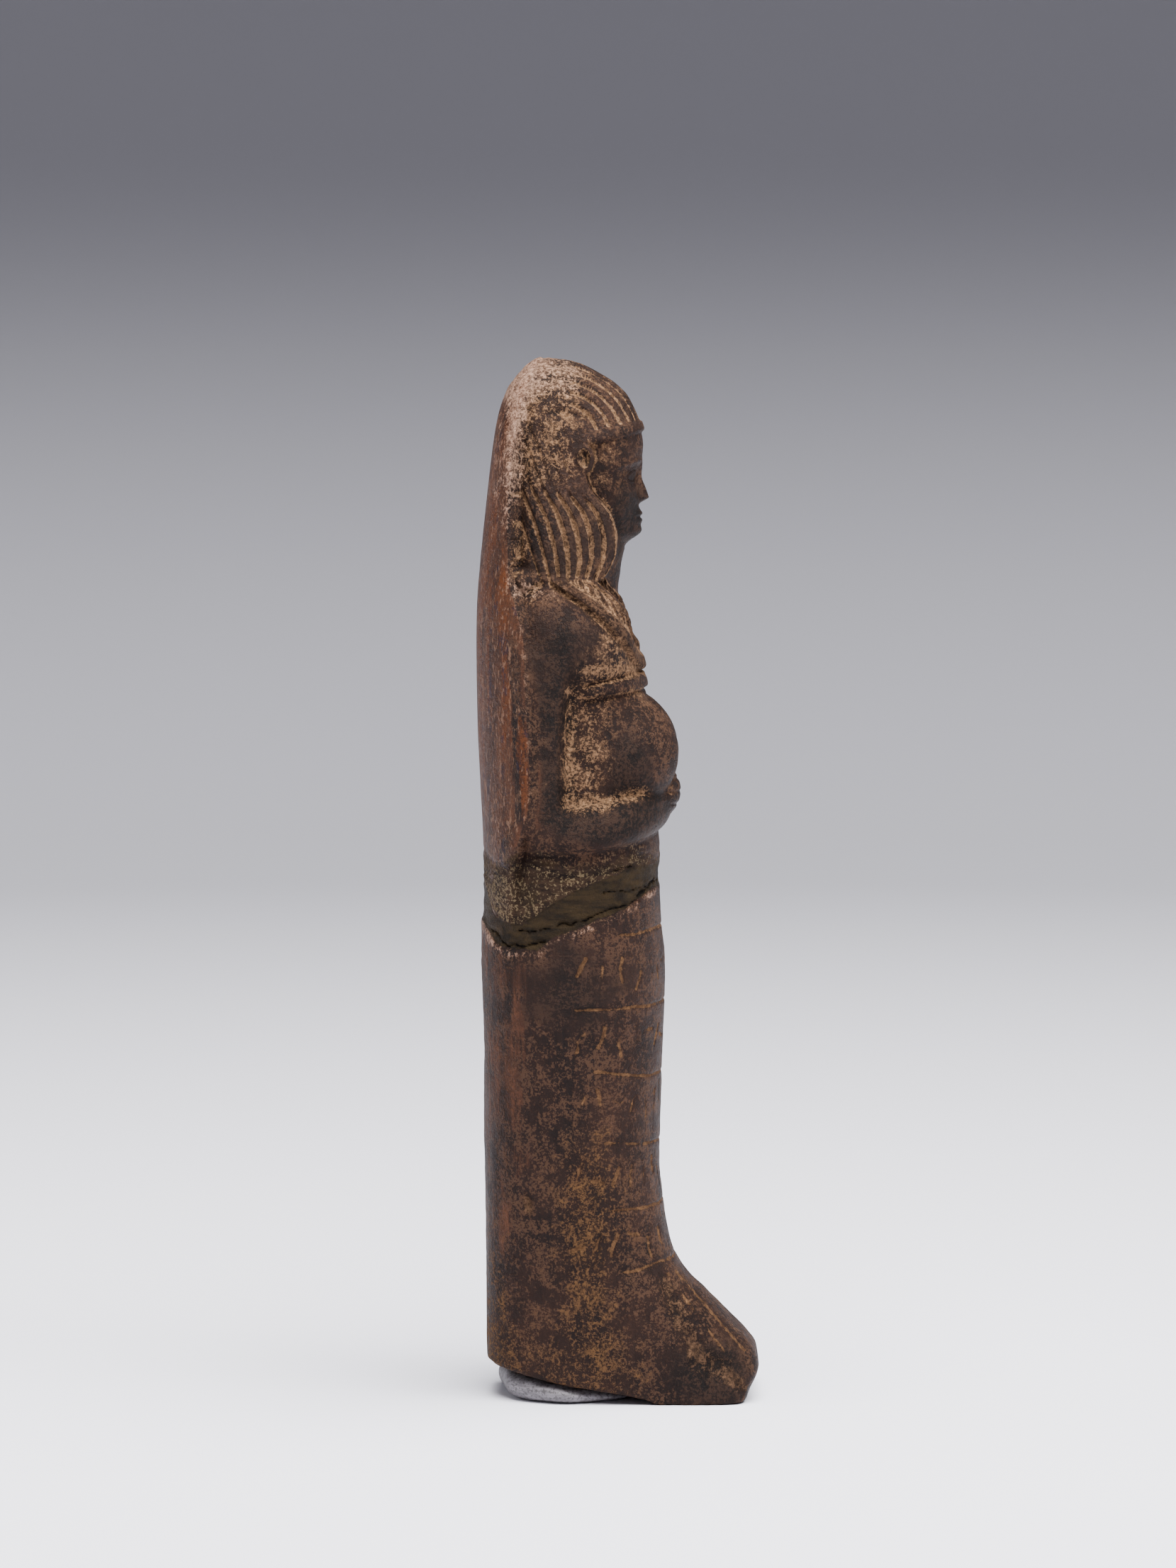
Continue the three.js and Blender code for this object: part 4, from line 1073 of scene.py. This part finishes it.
def stone_finish():
    """Dark brown polished stone, with tan and ochre dirt where it is cut or worn, and an olive mend;
    painted highlights on the crown, shoulder and forearm tops and along the plate's ridge, painted light
    on the backs of the legs, and painted shade in the ears.
    """
    stone = Stone()
    grain = stone.grain
    plate = stone.painted("plate")
    colour = darkened(stone, reddish_plate(stone, bare_stone(stone), plate))

    ochre = stone.stain("ochre", 0.5)
    colour = stone.mix(ochre * 0.8, colour, stone.mix(stone.fine, tone(42, 29, 19), tone(104, 74, 45)))
    # Tan dust, and a painted highlight along the forearm's top.
    tan = stone.stain("tan", 0.4)
    colour = stone.mix(tan * 0.9, colour, stone.crust)
    collar = stone.ease(stone.painted("collar"), 0.3, 0.7)
    colour = dusty_collar(stone, colour, collar)
    # Pale wear, with painted highlights on the crown's top, the shoulder's top and along the plate's
    # ridge.
    worn = stone.mix(stone.fine, tone(84, 60, 47), tone(172, 138, 117))
    colour = stone.mix(stone.stain("pale", 0.5) * 0.65, colour, worn)
    colour, mend = olive_mend(stone, colour)

    chip = stone.stain("chip", 0.4)
    colour = stone.mix(chip * 0.7, colour, stone.mix(grain, tone(40, 29, 22), tone(112, 84, 62)))
    stroke = stone.cover(stone.painted("stroke") * 0.9, grain * 0.5 + stone.patchy * 0.5, 0.35)
    chalky = stone.mix(grain, tone(72, 48, 30), tone(136, 100, 68))
    colour = stone.mix(stroke * (1 - ochre * 0.5) * 0.52, colour, chalky)
    crack = stone.ease(stone.painted("crack"), 0.35, 0.75)
    colour = stone.mix(crack * 0.92, colour, tone(8, 6, 5))

    dull = tan.over(ochre * 0.7).over(mend).over(chip).over(stroke).over(collar * 0.8)
    rise = grain * 0.45 + stone.speck * 0.35 + stone.streaky * 0.2 + dull * grain * 0.9
    stone.set(Base_Color=colour, Roughness=grain * 0.14 - plate * 0.12 + dull * 0.3 + 0.46,
              Specular_IOR_Level=0.085, Normal=stone.bump(rise, 0.3))
    return stone.material


def putty_finish():
    """Dark grey putty, smeared in slanting strokes, with a few specks of dust."""
    putty = Finish("grey_putty")
    tilt = (math.radians(28), 0, 0)
    tilted = putty.node("Mapping", Vector=putty.place, Rotation=tilt, Scale=(1, 0.35, 2.4))
    wiped = putty.node("TexNoise", Vector=tilted.outputs[0], Scale=1 / (1.1 * MM), Detail=4.0)
    wiped = Amount(putty, wiped.outputs[0])
    speck = putty.ease(putty.noise(0.5, 2, 0.5, seed=4), 0.68, 0.74)
    colour = putty.mix(putty.ease(wiped, 0.35, 0.65), tone(82, 78, 81), tone(110, 105, 109))
    colour = putty.mix(speck * 0.7, colour, tone(48, 44, 44))
    putty.set(Base_Color=colour, Roughness=0.5 + wiped * 0.2, Normal=putty.bump(wiped, 0.12))
    return putty.material


def paper_with_painted_shade():
    """Pale paper, with painted shade that darkens it with height, in place of the light falling off up the
    wall.
    """
    paper = Finish("studio_paper")
    height = paper.node("SeparateXYZ", Vector=paper.place).outputs["Z"]
    # Painted shade: darker with height, standing in for the light's falloff.
    up = paper.ease(Amount(paper, height), -0.02, 0.26)
    paper.set(Base_Color=paper.mix(up, tone(245, 244, 253), tone(124, 123, 131)), Roughness=0.9)
    return paper.material


# ---- Pieces ----
figurine = carve_figurine()
mark_zones(figurine)
figurine.data.materials.append(stone_finish())
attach(figurine, "root")
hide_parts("figurine")

pad = press_pad()
pad.data.materials.append(putty_finish())
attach(pad, "root")
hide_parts("putty_pad")


# ---- Studio ----
# Lengths are in metres, but the camera's sensor is in millimetres.
FLOOR_REACH, COVE_RADIUS, WALL_HEIGHT = 1.6, 0.7, 2.2
COVE_STEPS, ROUND_STEPS = 12, 96
AIM = (0, (MIDDLE - 3.0) * MM, 0.1064)
CAMERA_AWAY, CAMERA_RISE, VIEW_HEIGHT = 1.0, math.radians(4.7), 0.2717
SENSOR_WIDTH = 36
ROOM_TONE, ROOM_STRENGTH = (190, 190, 196), 0.05
# Each lamp's name, power in watts, size, place and aim.
LAMPS = (("overhead", 29, 0.7, (-0.2, -0.12, 0.72), (0, 0, 0.05)),
         ("beside_camera", 0.3, 0.6, (-0.8, 0.3, 0.5), (0, 0, 0.09)),
         ("behind_left", 1.8, 0.5, (0.05, 0.8, 0.35), (0, 0, 0.09)))


def make_studio_floor():
    """A round pale floor that curves up into a wall all the way round."""
    profile = [(0, 0, 0)]
    for i in range(COVE_STEPS + 1):
        turn = math.pi / 2 * i / COVE_STEPS
        out = FLOOR_REACH - COVE_RADIUS * (1 - math.sin(turn))
        profile.append((out, 0, COVE_RADIUS * (1 - math.cos(turn))))
    profile.append((FLOOR_REACH, 0, WALL_HEIGHT))
    mesh = bpy.data.meshes.new("studio_floor")
    mesh.from_pydata(profile, [(i, i + 1) for i in range(len(profile) - 1)], [])
    floor = bpy.data.objects.new("studio_floor", mesh)
    bpy.context.collection.objects.link(floor)
    choose(floor)
    bpy.ops.object.mode_set(mode="EDIT")
    bpy.ops.mesh.select_all(action="SELECT")
    bpy.ops.mesh.spin(steps=ROUND_STEPS, angle=2 * math.pi, center=(0, 0, 0), axis=(0, 0, 1))
    bpy.ops.mesh.remove_doubles(threshold=0.0001)
    bpy.ops.mesh.normals_make_consistent(inside=True)
    bpy.ops.object.mode_set(mode="OBJECT")
    bpy.ops.object.shade_smooth()
    floor.data.materials.append(paper_with_painted_shade())


def set_up(name, data, place, aim):
    """A lamp or a camera at its place, turned to its aim."""
    thing = bpy.data.objects.new(name, data)
    bpy.context.collection.objects.link(thing)
    thing.location = place
    aside, ahead, up = [a - p for a, p in zip(aim, place)]
    thing.rotation_euler = (math.atan2(math.hypot(aside, ahead), -up), 0, math.atan2(-aside, ahead))
    return thing


def soft_light(name, power, size, place, aim):
    """A square soft box."""
    lamp = bpy.data.lights.new(name, "AREA")
    lamp.shape, lamp.size, lamp.energy = "SQUARE", size, power
    set_up(name, lamp, place, aim)


def make_camera():
    """A long lens at the proper right of the figure."""
    lens = bpy.data.cameras.new("camera")
    lens.sensor_width = SENSOR_WIDTH
    lens.lens = SENSOR_WIDTH * CAMERA_AWAY / VIEW_HEIGHT
    back, up = CAMERA_AWAY * math.cos(CAMERA_RISE), CAMERA_AWAY * math.sin(CAMERA_RISE)
    bpy.context.scene.camera = set_up("camera", lens, (-back, AIM[1], AIM[2] + up), AIM)


def light_room():
    """Faint even light from all sides."""
    world = bpy.context.scene.world = bpy.data.worlds.new("room")
    world.use_nodes = True
    background = world.node_tree.nodes["Background"]
    background.inputs["Color"].default_value = tone(*ROOM_TONE)
    background.inputs["Strength"].default_value = ROOM_STRENGTH


make_studio_floor()
make_camera()
for lamp in LAMPS:
    soft_light(*lamp)
light_room()
